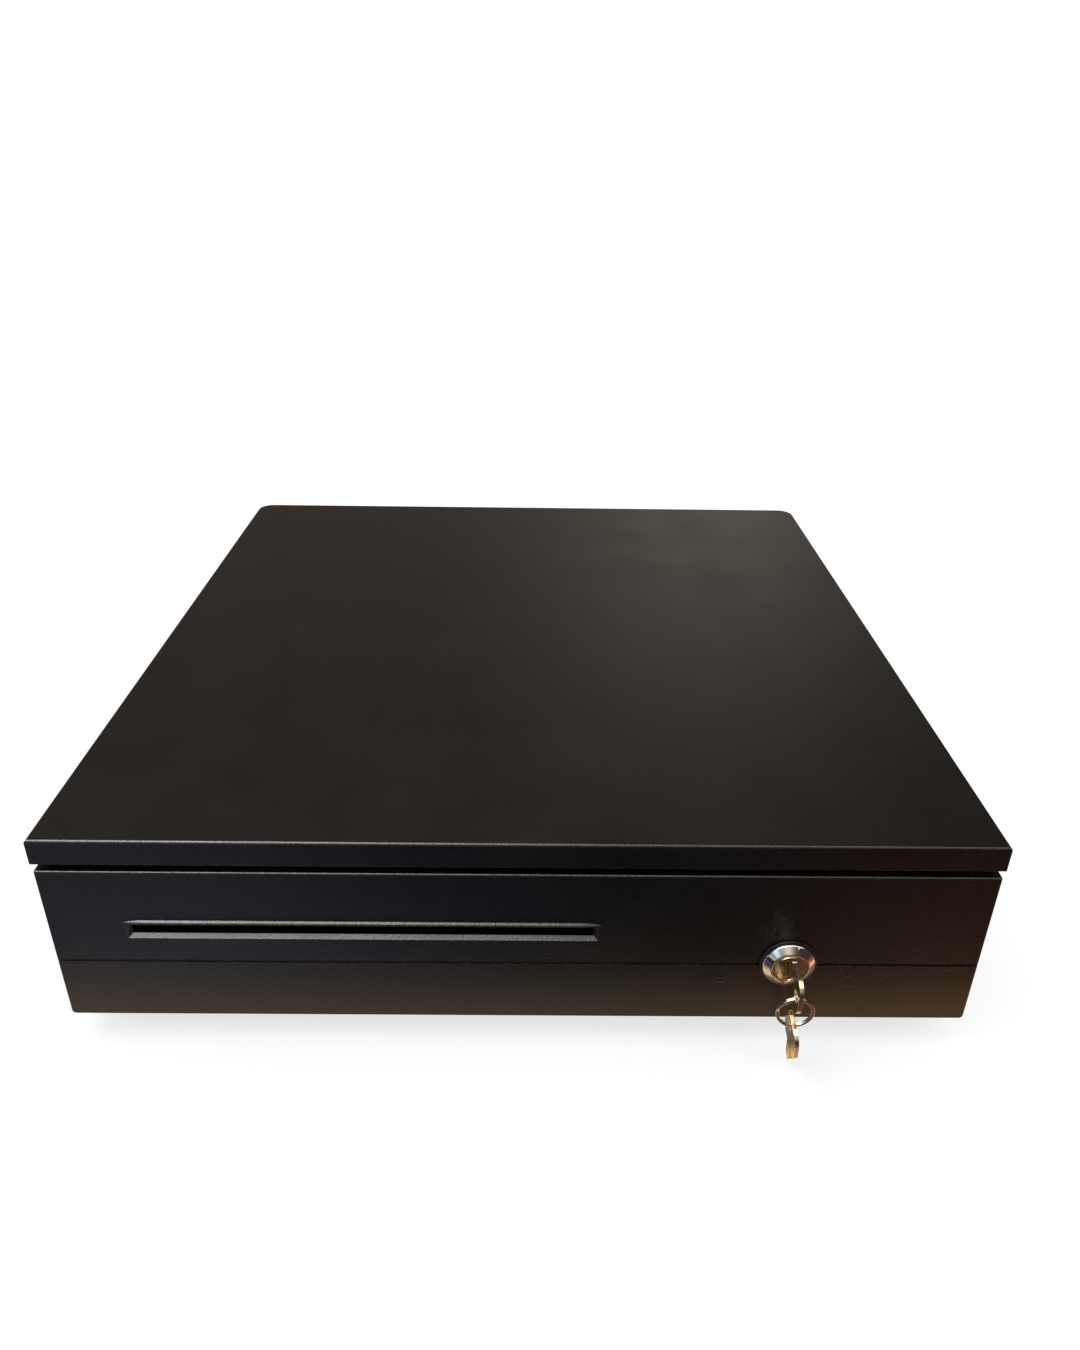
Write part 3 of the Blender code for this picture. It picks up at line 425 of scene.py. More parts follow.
def case_plan(half_w, front, back, radius, steps=12):
    """The case seen from above, with its rear corners rounded."""
    right = arc((half_w - radius, back - radius), radius, 0, 90, steps)
    left = arc((radius - half_w, back - radius), radius, 90, 180, steps)
    return [(-half_w, front), (half_w, front)] + right + left


def make_cover():
    """One folded sheet: top, sides, back and front lip, with holes for the jack and the screws."""
    low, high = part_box("cover")
    panel_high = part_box("front_panel")[1]
    lip_z = high.z - LIP_H
    shell = prism(case_plan(high.x, low.y, high.y, CORNER_R), "Z", low.z, high.z)
    top_edges = [e for e in shell.edges if all(v.co.z > high.z - SHEET / 2 for v in e.verts)]
    bmesh.ops.bevel(shell, geom=top_edges, offset=FOLD_R, segments=7, affect="EDGES", profile=0.5)
    cover = solid("cover_shell", shell)
    inside = prism(case_plan(high.x - SHEET, low.y + SHEET, high.y - SHEET, CORNER_R - SHEET), "Z",
                   low.z - SHEET, high.z - SHEET)
    front = block((-1, low.y - SHEET, 0), (1, panel_high.y + SHEET, lip_z))
    jack_low, jack_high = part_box("rear_jack")
    grow = Vector((0.3 * MM, 5 * MM, 0.3 * MM))
    tools = [inside, front, block(jack_low - grow, jack_high + grow)]
    hole_r, inner = 2 * MM, high.y - 5 * MM
    for number in SCREWS:
        a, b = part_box(f"cover_screw_{number}")
        middle = (a + b) / 2
        hole = [(0, inner), (hole_r, inner), (hole_r, high.y + SHEET), (0, high.y + SHEET)]
        tools.append(turned(hole, "Y", (middle.x, 0, middle.z), 24))
    cut(cover, *tools)
    round_edges(cover, 0.3 * MM, 3)
    finish_piece(cover, "case", "coat", "cover")


def make_screws():
    """Pan-head screws with a cross recess, each turned a little differently."""
    head_h, shank_r = 1.6 * MM, 1.6 * MM
    arm_l, arm_w, recess = 2 * MM, 0.42 * MM, 1.1 * MM
    for number in SCREWS:
        a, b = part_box(f"cover_screw_{number}")
        middle = (a + b) / 2
        top, seat = b.y, b.y - head_h
        dome = [(3.6 * MM, seat), (3.6 * MM, seat + 0.35 * MM), (3.3 * MM, seat + 0.95 * MM),
                (2.6 * MM, seat + 1.4 * MM), (1.6 * MM, top - 0.04 * MM), (0, top)]
        shape = [(0, a.y), (shank_r, a.y), (shank_r, seat)] + dome
        screw = solid(f"cover_screw_head_{number}", turned(shape, "Y", (middle.x, 0, middle.z), 40))
        turn = Matrix.Rotation(math.radians(17 + 31 * number), 4, "Y")
        arms = []
        for half_x, half_z in ((arm_l, arm_w), (arm_w, arm_l)):
            arm = block((-half_x, -recess, -half_z), (half_x, 2 * MM, half_z))
            bmesh.ops.transform(arm, matrix=Matrix.Translation((middle.x, top, middle.z)) @ turn, verts=arm.verts)
            arms.append(arm)
        cut(screw, *arms)
        round_edges(screw, 0.08 * MM, 2, 40)
        finish_piece(screw, "case", "zinc", f"cover_screw_{number}")


def make_feet():
    """Rubber feet with a rolled lower edge, and the head of the screw in each one's hollow."""
    for side in ("left", "right"):
        for end in ("front", "rear"):
            name = f"foot_{end}_{side}"
            a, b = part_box(name)
            middle = (a + b) / 2
            top = b.z
            shape = ([(0, top), (12 * MM, top)] + arc((10.9 * MM, top - 1.6 * MM), 0.9 * MM, 60, 0, 3)
                     + [(10.3 * MM, 2.2 * MM)] + arc((9.0 * MM, 1.2 * MM), 1.2 * MM, 0, -90, 5)
                     + arc((6.0 * MM, 0.8 * MM), 0.8 * MM, -90, -180, 4) + [(5 * MM, 7 * MM), (0, 7 * MM)])
            foot = solid(f"rubber_foot_{end}_{side}", turned(shape, "Z", (middle.x, middle.y, 0), 56))
            smooth(foot)
            finish_piece(foot, "case", "rubber", name)
            head = [(0, 6.6 * MM), (0, 5.4 * MM), (1.8 * MM, 5.5 * MM), (3.3 * MM, 6.1 * MM), (3.5 * MM, 6.6 * MM)]
            screw = solid(f"foot_screw_{end}_{side}", turned(head, "Z", (middle.x, middle.y, 0), 32))
            smooth(screw)
            finish_piece(screw, "case", "zinc")


def make_jack():
    """The six-way socket and its sprung contacts."""
    low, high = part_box("rear_jack")
    middle = (low + high) / 2
    pitch = 1.02 * MM
    refine("rear_jack", "plastic", 0.35 * MM, 2)
    for number in range(6):
        x = middle.x + (number - 2.5) * pitch
        outline = [(high.y - 12.2 * MM, middle.z + 3.2 * MM), (high.y - 12.2 * MM, middle.z + 2.2 * MM),
                   (high.y - 5.5 * MM, middle.z + 1.2 * MM), (high.y - 4.8 * MM, middle.z + 1.6 * MM),
                   (high.y - 3.2 * MM, middle.z + 3.2 * MM)]
        pin = solid(f"jack_contact_{number + 1}", prism(outline, "X", x - 0.2 * MM, x + 0.2 * MM))
        finish_piece(pin, "case", "gold")


# ---------------------------------------------------------------- front panel

PANEL_LOW, PANEL_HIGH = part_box("front_panel")
FACE_Y = PANEL_LOW.y
LOCK = (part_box("lock_barrel")[0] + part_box("lock_barrel")[1]) / 2
LOCK.y = FACE_Y
SEAM_Z = PANEL_LOW.z + 33.1 * MM
SLOT_X = (-170.7 * MM, 34.1 * MM)
SLOT_Z = (PANEL_LOW.z + 46.3 * MM, PANEL_LOW.z + 55.3 * MM)
SLOT_INSET = 1.5 * MM       # width of the slot's bevel
SLOT_DEPTH = 1.8 * MM
PANEL_T = 1.2 * MM


def slot_funnel(grow, start=-1 * MM):
    """The slot's tapered mouth, larger by grow on every side."""
    (x0, x1), (z0, z1) = SLOT_X, SLOT_Z
    mouth = block((x0 - grow, start, z0 - grow), (x1 + grow, SLOT_DEPTH, z1 + grow))
    slope = SLOT_INSET / SLOT_DEPTH
    for corner in mouth.verts:
        inward = slope * corner.co.y
        corner.co.x += inward if corner.co.x < (x0 + x1) / 2 else -inward
        corner.co.z += inward if corner.co.z < (z0 + z1) / 2 else -inward
    bmesh.ops.translate(mouth, verts=mouth.verts, vec=(0, FACE_Y, 0))
    return mouth


def make_panel():
    """A shallow pan with a pressed line, a lock hole and a slot in a short collar."""
    half_w, top, low = PANEL_HIGH.x, PANEL_HIGH.z, PANEL_LOW.z
    corner, top_corner, hole_r = 2 * MM, 0.8 * MM, 9.5 * MM
    outline = (arc((top_corner - half_w, top - top_corner), top_corner, 90, 180, 3)
               + arc((corner - half_w, low + corner), corner, 180, 270, 8)
               + arc((half_w - corner, low + corner), corner, 270, 360, 8)
               + arc((half_w - top_corner, top - top_corner), top_corner, 0, 90, 3))
    shell = prism(outline, "Y", FACE_Y, PANEL_HIGH.y)
    front_edges = [e for e in shell.edges if all(abs(v.co.y - FACE_Y) < 0.1 * MM for v in e.verts)]
    bmesh.ops.bevel(shell, geom=front_edges, offset=1.1 * MM, segments=6, affect="EDGES", profile=0.5)
    panel = solid("panel_pan", shell)
    cut(panel, block((PANEL_T - half_w, FACE_Y + PANEL_T, low + PANEL_T),
                     (half_w - PANEL_T, PANEL_HIGH.y + MM, top - PANEL_T)))
    collar = slot_funnel(1.1 * MM, 0.6 * MM)
    bmesh.ops.translate(collar, verts=collar.verts, vec=(0, 0.3 * MM, 0))
    combine(panel, "UNION", collar)
    (x0, x1), (z0, z1) = SLOT_X, SLOT_Z
    gap_x, gap_z = SLOT_INSET + 0.2 * MM, SLOT_INSET + 0.05 * MM
    throat = block((x0 + gap_x, FACE_Y, z0 + gap_z), (x1 - gap_x, PANEL_HIGH.y, z1 - gap_z))
    seam = [(-1, -0.7), (0, -0.7), (0.75, -0.9), (0.75, 1.0), (-1, 1.0)]
    groove = prism([(FACE_Y + y * MM, SEAM_Z + z * MM) for y, z in seam], "X", -1, 1)
    round_hole = [(0, FACE_Y - MM), (hole_r, FACE_Y - MM), (hole_r, PANEL_HIGH.y), (0, PANEL_HIGH.y)]
    hole = turned(round_hole, "Y", (LOCK.x, 0, LOCK.z), 64)
    cut(panel, slot_funnel(0), throat, groove, hole)
    round_edges(panel, 0.22 * MM, 3, 24)
    finish_piece(panel, "drawer", "coat", "front_panel")
    make_slot_bead()


def make_slot_bead():
    """The slot's upper edge, pressed out as a small rounded ledge that runs out at both ends."""
    over, run_out, steps = 1.5 * MM, 7 * MM, 60
    reach = SLOT_X[1] - SLOT_X[0] + 2 * over
    ledge = [(0.5, 1.5), (0.0, 1.5), (-0.3, 1.42), (-0.8, 1.12), (-1.2, 0.8), (-1.42, 0.5), (-1.48, 0.2),
             (-1.38, -0.05), (-1.1, -0.2), (0.5, -0.2)]
    places, sizes = [], []
    for k in range(steps + 1):
        along = reach * (0.5 - 0.5 * math.cos(math.pi * k / steps))
        size = max(0.0, min(1.0, along / run_out, (reach - along) / run_out))
        sizes.append(0.1 + 0.9 * math.sqrt(size))
        places.append(SLOT_X[0] - over + along)

    def section(k):
        return [Vector((places[k], FACE_Y + y * sizes[k] * MM, SLOT_Z[1] - 0.1 * MM + z * sizes[k] * MM))
                for y, z in ledge]
    finish_piece(smooth(solid("slot_bead", sweep(steps + 1, section)), 60), "drawer", "coat")


def make_marks():
    """Small embossed dimples on either side of the lock."""
    cap = [(0, -0.42), (0.35, -0.4), (0.7, -0.31), (1.0, -0.14), (1.25, 0.02)]
    left_x = LOCK.x - 29 * MM
    for name, x, z in (("left", left_x, LOCK.z - 8.8 * MM), ("right", LOCK.x + 27.9 * MM, LOCK.z - 7.2 * MM)):
        dimple = turned([(r * MM, FACE_Y + y * MM) for r, y in cap], "Y", (x, 0, z), 28)
        finish_piece(smooth(solid(f"panel_dimple_{name}", dimple), 60), "drawer", "coat")
    z, reach, radius = LOCK.z - 11.6 * MM, 2.2 * MM, 0.4 * MM
    outline = arc((left_x - reach, z), radius, 90, 270, 6) + arc((left_x + reach, z), radius, -90, 90, 6)
    bar = solid("panel_dimple_bar", prism(outline, "Y", FACE_Y - 0.25 * MM, FACE_Y + 0.02 * MM))
    finish_piece(round_edges(bar, 0.18 * MM, 2), "drawer", "coat")


# ---------------------------------------------------------------- lock and keys

BEZEL_FACE = FACE_Y - 3.9 * MM
PLUG_FACE = BEZEL_FACE + 0.2 * MM
BORE_R, PLUG_R = 7.65 * MM, 7.5 * MM
THREAD_R, ROOT_R = 9.2 * MM, 8.75 * MM
KEY_T = 1.9 * MM
BOW_L, BOW_W = 19.7 * MM, 18 * MM
BLADE_L, BLADE_W = 14 * MM, 5.6 * MM
HOLE_R, HOLE_OUT = 3 * MM, 15 * MM      # the bow's hole, and how far out from the shoulder it is
RING_R, WIRE_R = 7.7 * MM, 0.75 * MM
SHOULDER = LOCK + Vector((0, -4.4 * MM, 0))
RING_TOP = SHOULDER + Vector((0, -HOLE_OUT, -HOLE_R + WIRE_R + 0.3 * MM))


def make_washer_and_shade_ring(axis):
    """The black washer between the bezel and the panel. Its rim past the bezel is also painted shade: a black ring
    where the bezel's shadow falls on the panel.
    """
    low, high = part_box("lock_washer")
    # The 1.3 mm of rim past the bezel's rim is painted shade as well as the washer's edge.
    inner, rim = 9.5 * MM, 13 * MM
    shape = [(inner, high.y), (inner, low.y), (rim - 0.35 * MM, low.y), (rim - 0.1 * MM, low.y + 0.1 * MM),
             (rim, low.y + 0.35 * MM), (rim, high.y)]
    washer_and_shade = solid("washer_and_shade_ring", turned(shape, "Y", axis, 72, ring=True))
    finish_piece(smooth(washer_and_shade), "drawer", "plastic", "lock_washer")


def make_bezel(axis):
    """The tapered chrome bezel and its threaded barrel."""
    back, end = FACE_Y - 1.2 * MM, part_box("lock_barrel")[1].y
    rim = 11.7 * MM
    shape = [(BORE_R, BEZEL_FACE + 0.25 * MM), (BORE_R + 0.1 * MM, BEZEL_FACE + 0.06 * MM),
             (BORE_R + 0.3 * MM, BEZEL_FACE), (8.45 * MM, BEZEL_FACE), (8.62 * MM, BEZEL_FACE + 0.05 * MM),
             (8.78 * MM, BEZEL_FACE + 0.17 * MM), (11.35 * MM, back - 0.75 * MM), (11.58 * MM, back - 0.55 * MM),
             (rim, back - 0.3 * MM), (rim, back), (THREAD_R, back)]
    y = back + 3 * MM
    while y < end - 1.2 * MM:
        shape += [(THREAD_R, y), (ROOT_R, y + 0.5 * MM)]
        y += MM
    shape += [(THREAD_R, end), (BORE_R, end)]
    bezel = solid("lock_bezel", turned(shape, "Y", axis, 96, ring=True))
    finish_piece(smooth(bezel, 28), "drawer", "chrome", "lock_barrel")


def make_plug(axis):
    """The plug: a ringed face with its keyway, and a square tail that carries the cam."""
    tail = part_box("lock_plug")[1].y
    cylinder_end = tail - 4 * MM
    face = [(0, 0), (6.5, 0), (6.6, 0.22), (6.95, 0.22), (7.05, 0), (7.3, 0), (7.45, 0.1)]
    shape = [(r * MM, PLUG_FACE + y * MM) for r, y in face]
    shape += [(PLUG_R, PLUG_FACE + 0.25 * MM), (PLUG_R, cylinder_end), (0, cylinder_end)]
    plug = solid("plug_core", turned(shape, "Y", axis, 96))
    half = 3 * MM
    combine(plug, "UNION", block(LOCK + Vector((-half, cylinder_end - FACE_Y - MM, -half)),
                                 LOCK + Vector((half, tail - FACE_Y, half))))
    play, ahead = 0.3 * MM, -10 * MM
    wide, tall = KEY_T / 2 + play, BLADE_W / 2 + play
    keyway = block(LOCK + Vector((-wide, ahead, -tall)), LOCK + Vector((wide, 16 * MM, tall)))
    mouth_r, floor_y = 1.9 * MM, -2.6 * MM
    mouth = turned([(0, ahead), (mouth_r, ahead), (mouth_r, floor_y), (0, floor_y)], "Y",
                   LOCK + Vector((-0.6 * MM, 0, 2.2 * MM)), 32)
    cut(plug, keyway, mouth)
    round_edges(plug, 0.12 * MM, 2, 40)
    finish_piece(plug, "lock_plug", "plug", "lock_plug")


def make_lock():
    axis = (LOCK.x, 0, LOCK.z)
    make_washer_and_shade_ring(axis)
    make_bezel(axis)
    make_plug(axis)


def key_outline():
    """The key's side view: its shoulder at the origin, its blade along +Y and its bow along -Y."""
    half, tip = BLADE_W / 2, 2.6 * MM
    bow_half, round_r = BOW_W / 2, 6 * MM
    near, far = -0.6 * MM, round_r - BOW_L
    cuts = (1.9, 1.0, 1.5, 0.7)     # depths in mm, from the tip
    bow = [(near, -bow_half + 5 * MM)]
    bow += arc((-round_r, -bow_half + round_r), round_r, -30, -90, 6)
    bow += arc((far, -bow_half + round_r), round_r, -90, -180, 9)
    bow += arc((far, bow_half - round_r), round_r, -180, -270, 9)
    bow += arc((-round_r, bow_half - round_r), round_r, 90, 30, 6)
    bow += [(near, bow_half - 5 * MM)]
    blade = [(0, half), (BLADE_L - tip, half), (BLADE_L, 0.4 * MM), (BLADE_L - 2 * MM, -half + 1 * MM)]
    for number, depth in enumerate(cuts):
        at = BLADE_L - 4.2 * MM - number * 3 * MM
        blade += [(at + 0.9 * MM, -half), (at, -half + depth * MM), (at - 0.9 * MM, -half + depth * MM),
                  (at - 1.5 * MM, -half)]
    return blade + [(0, -half)] + bow


def make_key(name, carry, body, node):
    """A flat key: a round-cornered bow with its hole, and a milled groove along each side of the blade."""
    half_t, past, groove, off_middle = KEY_T / 2, 5 * MM, 0.4 * MM, 0.4 * MM
    key = solid(name, prism(key_outline(), "X", -half_t, half_t))
    hole = [(0, -past), (HOLE_R, -past), (HOLE_R, past), (0, past)]
    tools = [turned(hole, "X", (0, -HOLE_OUT, 0), 40)]
    for sign in (-1, 1):
        ends = sorted((sign * (half_t - groove), sign * (half_t + MM)))
        tools.append(block((ends[0], 0.6 * MM, 0.6 * MM + sign * off_middle),
                           (ends[1], BLADE_L + MM, 1.5 * MM + sign * off_middle)))
    cut(key, *tools)
    round_edges(key, 0.2 * MM, 3, 40)
    key.data.transform(carry)
    finish_piece(key, body, "key", node)


def make_ring():
    """Split ring: two turns of flattened wire, a pitch apart, with free ends and one step across."""
    centre = RING_TOP - Vector((0, 0, RING_R))
    pitch, free, jog = 0.78 * MM, math.radians(24), math.radians(20)
    half_out, half_across, squareness = 0.72 * MM, 0.355 * MM, 0.7
    start = math.radians(148)
    steps, sides = 176, 12
    path, outs = [], []
    for k in range(steps + 1):
        turn = free + (4 * math.pi - 2 * free) * k / steps
        blend = max(0.0, min(1.0, (turn - 2 * math.pi + jog) / (2 * jog)))
        shift = pitch * (blend * blend * (3 - 2 * blend) - 0.5)
        out = Vector((math.cos(start + turn), 0, math.sin(start + turn)))
        path.append(centre + out * RING_R + Vector((0, shift, 0)))
        outs.append(out)
    across = Vector((0, 1, 0))

    def section(k):
        points = []
        for i in range(sides):
            t = 2 * math.pi * i / sides
            a, b = (math.copysign(abs(v) ** squareness, v) for v in (math.cos(t), math.sin(t)))
            points.append(path[k] + outs[k] * half_out * a + across * half_across * b)
        return points
    ring = solid("split_ring", sweep(len(path), section))
    finish_piece(smooth(ring, 50), "key_ring", "chrome", "key_ring")


def make_keys():
    """The key in the lock, the ring through its bow, and the second key hung from the ring."""
    make_key("key_in_lock", Matrix.Translation(SHOULDER), "key_1", "key_1")
    make_ring()
    hang = RING_TOP - Vector((0, 0, 2 * RING_R))
    bridge = HOLE_OUT + HOLE_R - WIRE_R - 0.3 * MM
    lean = Matrix.Rotation(math.radians(14 - 90), 4, "X")
    roll = Matrix.Rotation(math.radians(-7), 4, "Y")
    carry = Matrix.Translation(hang) @ roll @ lean @ Matrix.Translation((0, bridge, 0))
    make_key("hung_key", carry, "key_2", "key_2")


# ---------------------------------------------------------------- inside

def make_inside():
    """The sheet steel, moulded and machined parts inside: their CAD shapes with rolled edges, widths in mm."""
    for node, look, width in (
            ("base_pan", "coat", 0.3), ("drawer_tray", "coat", 0.3), ("till", "till", 0.8),
            ("cheque_chute", "zinc", 0.2), ("till_ledge_left", "zinc", 0.25), ("till_ledge_right", "zinc", 0.25),
            ("case_rail_left", "zinc", 0.3), ("case_rail_right", "zinc", 0.3),
            ("drawer_rail_left", "zinc", 0.3), ("drawer_rail_right", "zinc", 0.3),
            ("panel_bracket_left", "zinc", 0.25), ("panel_bracket_right", "zinc", 0.25),
            ("latch_bracket", "zinc", 0.25), ("drawer_striker", "zinc", 0.25), ("solenoid_frame", "zinc", 0.3),
            ("lock_catch", "zinc", 0.25), ("lock_nut", "zinc", 0.4), ("lock_cam", "zinc", 0.3),
            ("latch_hook", "steel", 0.3)):
        refine(node, look, width * MM)
    refine("coin_tray", "till", 0.5 * MM, merge=False)
    for number in range(1, 6):
        refine(f"note_clip_{number}", "till", 0.5 * MM)


def make_clip_springs():
    """A torsion spring on the rod beside each note clip."""
    low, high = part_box("clip_rod")
    axis_y, axis_z = (low.y + high.y) / 2, (low.z + high.z) / 2
    beside, length, coil_r, wire_r, turns = 13.6 * MM, 3.6 * MM, 2.75 * MM, 0.35 * MM, 4.5
    for number in range(1, 6):
        a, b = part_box(f"note_clip_{number}")
        x = (a.x + b.x) / 2 + beside
        spring = coil((0, axis_y, axis_z), "X", coil_r, wire_r, x, x + length, turns)
        finish_piece(smooth(solid(f"clip_spring_{number}", spring), 60), "drawer", "steel")


def dress_cad():
    """Looks for the CAD nodes that stay as they are."""
    for node, look in (
            ("case_roller_left", "nylon"), ("case_roller_right", "nylon"),
            ("drawer_roller_left", "nylon"), ("drawer_roller_right", "nylon"),
            ("case_roller_left_axle", "zinc"), ("case_roller_right_axle", "zinc"),
            ("drawer_roller_left_axle", "zinc"), ("drawer_roller_right_axle", "zinc"),
            ("latch_pin", "steel"), ("solenoid_coil", "tape"), ("solenoid_plunger", "steel"),
            ("solenoid_lead", "plastic"), ("ejector_post_left", "zinc"), ("ejector_post_right", "zinc"),
            ("ejector_spring_left", "steel"), ("ejector_spring_right", "steel"),
            ("clip_rod", "zinc"), ("cam_screw", "zinc")):
        materials = NODES[node].data.materials
        materials.clear()
        materials.append(LOOKS[look])


# ---------------------------------------------------------------- stage

# What shiny parts see of the floor, a painted reflection, as (place from left to right, colour): beyond the
# tabletop, far in front, a hand's breadth away, and close to the drawer. SIDE is how far left and right the ramps
# reach.
FLOOR_BEYOND = ((0.0, (0.62, 0.56, 0.46)), (0.5, (0.3, 0.26, 0.21)), (0.9, (0.05, 0.03, 0.02)))
FLOOR_FAR = ((0.05, (0.22, 0.215, 0.31)), (0.27, (0.03, 0.05, 0.12)), (0.56, (0.0, 0.002, 0.02)),
             (0.70, (0.01, 0.01, 0.03)), (0.84, (0.05, 0.01, 0.005)), (0.92, (0.15, 0.03, 0.025)))
FLOOR_MIDDLE = ((0.05, (0.27, 0.24, 0.29)), (0.2, (0.31, 0.31, 0.50)), (0.47, (0.12, 0.11, 0.19)),
                (0.63, (0.015, 0.01, 0.02)), (0.8, (0.19, 0.08, 0.06)), (0.92, (0.33, 0.12, 0.06)))
FLOOR_NEAR = ((0.0, (1.0, 0.80, 0.50)), (0.6, (0.92, 0.66, 0.38)), (1.0, (1.3, 0.68, 0.25)))
SIDE = 0.3
# How far from the case each of them starts and is all there, in metres.
FAR_FROM, BEYOND_FROM = (0.08, 0.125), (0.22, 0.4)
GLOW_AT, GLOW_WIDTH, GLOW_START = 0.015, 0.018, (0.0, 0.008)
# DARK_FOOT is painted shade: the reflected floor goes dark at the foot of the case.
DARK_FOOT = (0.0, 0.006)
# Beside and behind the case the painted reflection is a plain grey that darkens outwards.
BESIDE_Y, BESIDE = (FACE_Y - 0.01, FACE_Y + 0.03), (0.0, 0.12)
CASE_HALF_D = 0.195     # from the middle of the CAD box to 3 mm behind the panel's face
WHITE = 1.05


def ramp(tree, value, stops):
    """A colour ramp with these stops."""
    node = add_node(tree, "ShaderNodeValToRGB", {"Fac": value})
    marks = node.color_ramp.elements
    for mark, (place, colour) in zip((marks[0], marks[1]), (stops[0], stops[-1])):
        mark.position, mark.color = place, rgb(*colour)
    for place, colour in stops[1:-1]:
        marks.new(place).color = rgb(*colour)
    return node.outputs["Color"]


def make_floor():
    """A plain pale floor. Shiny parts see a painted reflection instead, a dim tabletop that glows, lightest close in
    front of the drawer (a painted pool of light) and dark at its foot (painted shade)."""
    plane = bmesh.new()
    bmesh.ops.create_grid(plane, x_segments=1, y_segments=1, size=20)
    floor = solid("floor", plane)
    made = bpy.data.materials.new("pale floor")
    made.use_nodes = True
    tree = made.node_tree
    shader = tree.nodes["Principled BSDF"]
    shader.inputs["Base Color"].default_value = rgb(0.9, 0.9, 0.9)
    shader.inputs["Roughness"].default_value = 0.9
    shader.inputs["Specular IOR Level"].default_value = 0.1
    place = add_node(tree, "ShaderNodeTexCoord").outputs["Object"]
    at = add_node(tree, "ShaderNodeSeparateXYZ", {"Vector": place})
    x, y = at.outputs["X"], at.outputs["Y"]
    middle = (cad_box[0].y + cad_box[1].y) / 2
    out_x = calc(tree, "SUBTRACT", calc(tree, "ABSOLUTE", x), PANEL_HIGH.x)
    out_y = calc(tree, "SUBTRACT", calc(tree, "ABSOLUTE", calc(tree, "SUBTRACT", y, middle)), CASE_HALF_D)
    away = calc(tree, "MAXIMUM", calc(tree, "MAXIMUM", out_x, out_y), 0.0)
    offset = calc(tree, "DIVIDE", calc(tree, "SUBTRACT", away, GLOW_AT), GLOW_WIDTH)
    near = calc(tree, "POWER", 2.718, calc(tree, "MULTIPLY", calc(tree, "MULTIPLY", offset, offset), -1.0))
    side = ranged(tree, x, -SIDE, SIDE, 0, 1)
    seen = mixed(tree, ranged(tree, away, *FAR_FROM, 0, 1), ramp(tree, side, FLOOR_MIDDLE),
                 ramp(tree, side, FLOOR_FAR))
    seen = mixed(tree, ranged(tree, away, *BEYOND_FROM, 0, 1), seen, ramp(tree, side, FLOOR_BEYOND))
    # A painted pool of light in the reflection, just in front of the case.
    strip = calc(tree, "MULTIPLY", near, ranged(tree, away, *GLOW_START, 0, 1))
    seen = mixed(tree, strip, seen, ramp(tree, side, FLOOR_NEAR))
    # Painted shade in the reflection at the foot of the case.
    seen = mixed(tree, ranged(tree, away, *DARK_FOOT, 0, 1), rgb(0.01, 0.009, 0.008), seen)
    beside = mixed(tree, ranged(tree, away, *BESIDE, 0, 1), rgb(0.5, 0.45, 0.4), rgb(0.1, 0.09, 0.09))
    seen = mixed(tree, ranged(tree, y, *BESIDE_Y, 0, 1), seen, beside)
    # The painted reflection: an emission that only glossy rays see.
    painted_reflection = add_node(tree, "ShaderNodeEmission", {"Color": seen, "Strength": 1.0}).outputs[0]
    bright = add_node(tree, "ShaderNodeEmission", {"Color": rgb(WHITE, WHITE, WHITE), "Strength": 1.0}).outputs[0]
    pale = add_node(tree, "ShaderNodeMixShader", {0: 0.65, 1: shader.outputs[0], 2: bright}).outputs[0]
    glossy = add_node(tree, "ShaderNodeLightPath").outputs["Is Glossy Ray"]
    out = add_node(tree, "ShaderNodeMixShader", {0: glossy, 1: pale, 2: painted_reflection}).outputs[0]
    tree.links.new(out, tree.nodes["Material Output"].inputs["Surface"])
    floor.data.materials.append(made)


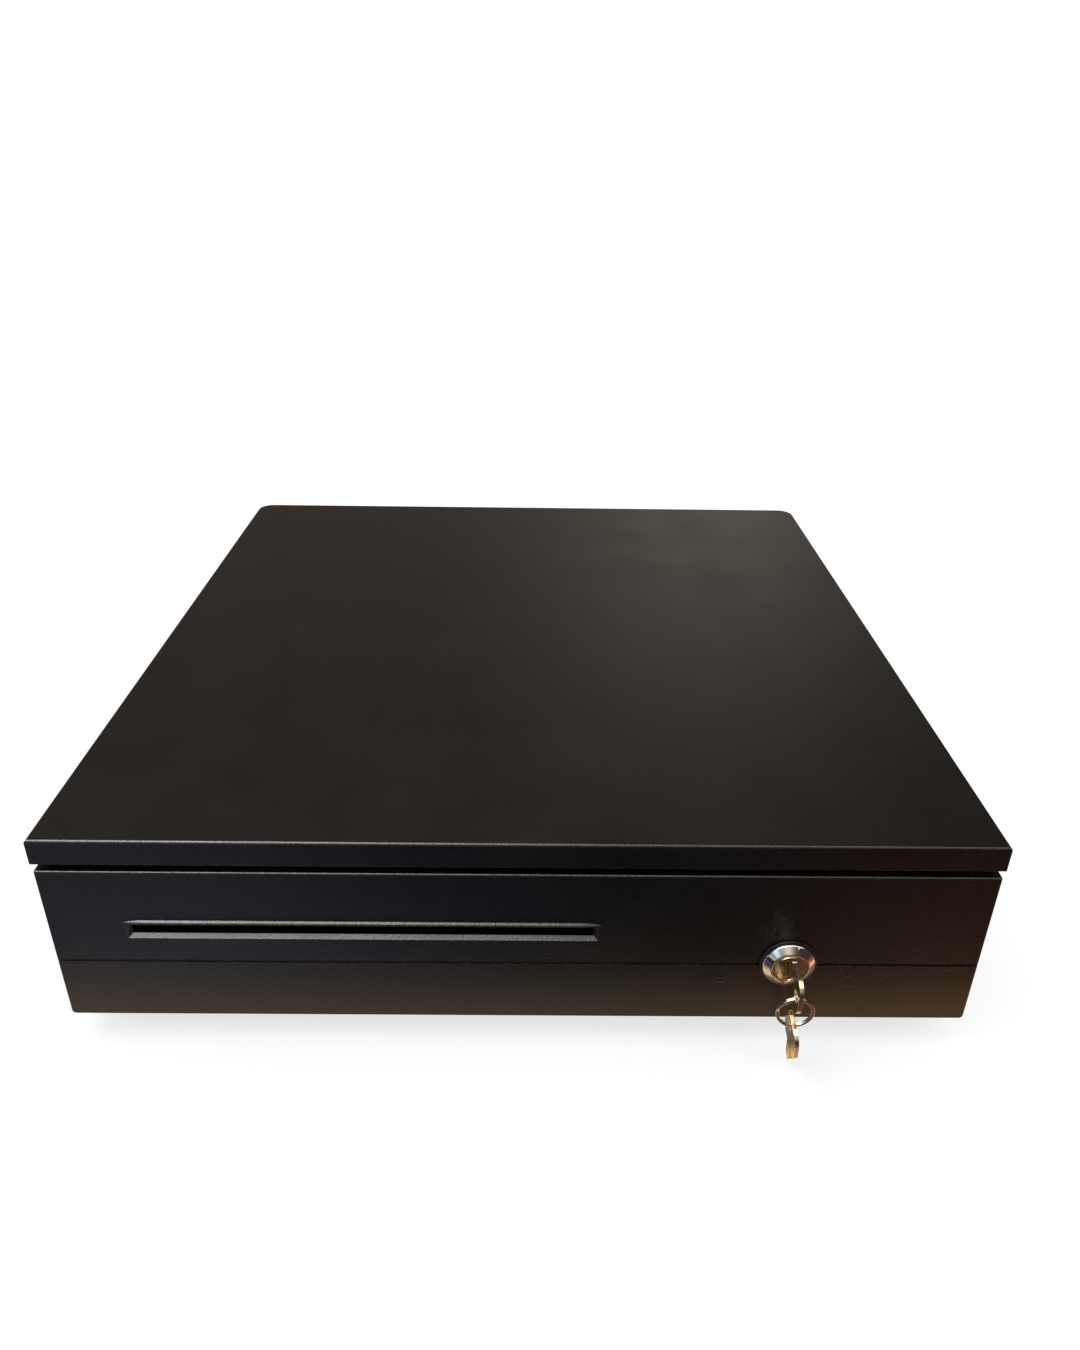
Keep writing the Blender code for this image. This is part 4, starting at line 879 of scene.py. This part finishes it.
def make_world():
    """White all round. Shiny parts see a dim room instead: a wall behind, a bright ceiling, a blue window on the left
    and soft light from in front."""
    world = bpy.data.worlds.new("studio")
    bpy.context.scene.world = world
    world.use_nodes = True
    tree = world.node_tree
    tree.nodes.clear()
    way = add_node(tree, "ShaderNodeTexCoord").outputs["Generated"]
    at = add_node(tree, "ShaderNodeSeparateXYZ", {"Vector": way})
    x, y, z = at.outputs["X"], at.outputs["Y"], at.outputs["Z"]
    room = rgb(0.05, 0.04, 0.034)

    def lobe(direction, sharpness):
        """A round patch of the sky, 1 in its direction and falling off."""
        unit = Vector(direction).normalized()
        close = add_node(tree, "ShaderNodeVectorMath", {0: way, 1: unit}, operation="DOT_PRODUCT").outputs["Value"]
        return calc(tree, "POWER", calc(tree, "MAXIMUM", close, 0.0), sharpness)

    def glow(colour, amount, base):
        """Adds a colour, scaled."""
        scaled = add_node(tree, "ShaderNodeVectorMath", {0: colour, "Scale": amount}, operation="SCALE").outputs[0]
        return mixed(tree, 1.0, base, scaled, blend_type="ADD")

    wall = calc(tree, "MULTIPLY", ranged(tree, y, 0.3, 0.7, 0, 1), ranged(tree, x, -0.1, 0.42, 1, 0.25))
    seen = glow((0.14, 0.105, 0.085), wall, room)
    seen = glow((0.85, 0.74, 0.64), lobe((0.185, 0.92, 0.32), 90), seen)
    up = ranged(tree, calc(tree, "SUBTRACT", z, calc(tree, "MULTIPLY", y, 0.22)), 0.80, 0.95, 0, 1)
    leftward = ranged(tree, x, 0.05, -0.45, 2.2, 16.0)
    seen = glow((1.0, 0.93, 0.84), calc(tree, "MULTIPLY", up, leftward), seen)
    seen = glow((1.6, 2.4, 3.6), lobe((-0.55, -0.46, 0.70), 18), seen)
    seen = glow((0.9, 1.2, 1.25), lobe((-0.55, -0.80, 0.24), 60), seen)
    seen = glow((0.85, 0.72, 0.65), lobe((0.02, -0.88, 0.47), 22), seen)
    path = add_node(tree, "ShaderNodeLightPath")
    chosen = mixed(tree, path.outputs["Is Glossy Ray"], rgb(1.15, 1.15, 1.15), seen)
    back = add_node(tree, "ShaderNodeBackground", {"Color": chosen, "Strength": 1.0}).outputs[0]
    out = tree.nodes.new("ShaderNodeOutputWorld")
    tree.links.new(back, out.inputs["Surface"])


def make_lights():
    """Two soft area lights, aimed at the front of the drawer."""
    aim = Vector((0.05, -0.1, 0.05))
    for name, place, size, power, colour in (
            ("key light", (-0.7, -0.3, 1.5), 0.9, 9, (1.0, 0.97, 0.92)),
            ("fill light", (1.0, -0.9, 0.9), 0.7, 2.5, (1.0, 0.86, 0.72))):
        data = bpy.data.lights.new(name, "AREA")
        data.shape, data.size, data.energy, data.color = "SQUARE", size, power, colour
        lamp = bpy.data.objects.new(name, data)
        lamp.location = place
        lamp.rotation_euler = (aim - Vector(place)).to_track_quat("-Z", "Y").to_euler()
        lamp.visible_camera = False
        bpy.context.scene.collection.objects.link(lamp)


def make_camera():
    """The photograph's viewing angle: close above the front edge, looking down at the lid. The focal length and the
    centre are in pixels and the angles in radians, from the fit of the drawer's corners."""
    width, height, focal = 1080, 1350, 1010.12
    centre_x, centre_y = 538.16, 656.6
    pitch, yaw, roll = 0.4862, 0.0117, 0.0149
    place = Vector((0.0022, FACE_Y - 0.3331, PANEL_LOW.z + 0.36314))
    forward = Vector((math.sin(yaw) * math.cos(pitch), math.cos(yaw) * math.cos(pitch), -math.sin(pitch)))
    right = forward.cross(Vector((0, 0, 1))).normalized()
    up = right.cross(forward)
    turned_right = right * math.cos(roll) + up * math.sin(roll)
    turned_up = up * math.cos(roll) - right * math.sin(roll)
    data = bpy.data.cameras.new("camera")
    data.sensor_fit, data.sensor_width = "AUTO", 36
    data.lens = focal / height * data.sensor_width
    data.shift_x = -(centre_x - width / 2) / height
    data.shift_y = (centre_y - height / 2) / height
    data.clip_start, data.clip_end = 0.01, 60
    camera = bpy.data.objects.new("camera", data)
    basis = Matrix((turned_right, turned_up, -forward)).transposed().to_4x4()
    camera.matrix_world = Matrix.Translation(place) @ basis
    bpy.context.scene.collection.objects.link(camera)
    bpy.context.scene.camera = camera
    bpy.context.scene.view_settings.view_transform = "Standard"


make_camera()
make_world()
make_lights()
make_floor()
make_cover()
make_screws()
make_feet()
make_jack()
make_panel()
make_marks()
make_lock()
make_keys()
make_inside()
make_clip_springs()
dress_cad()
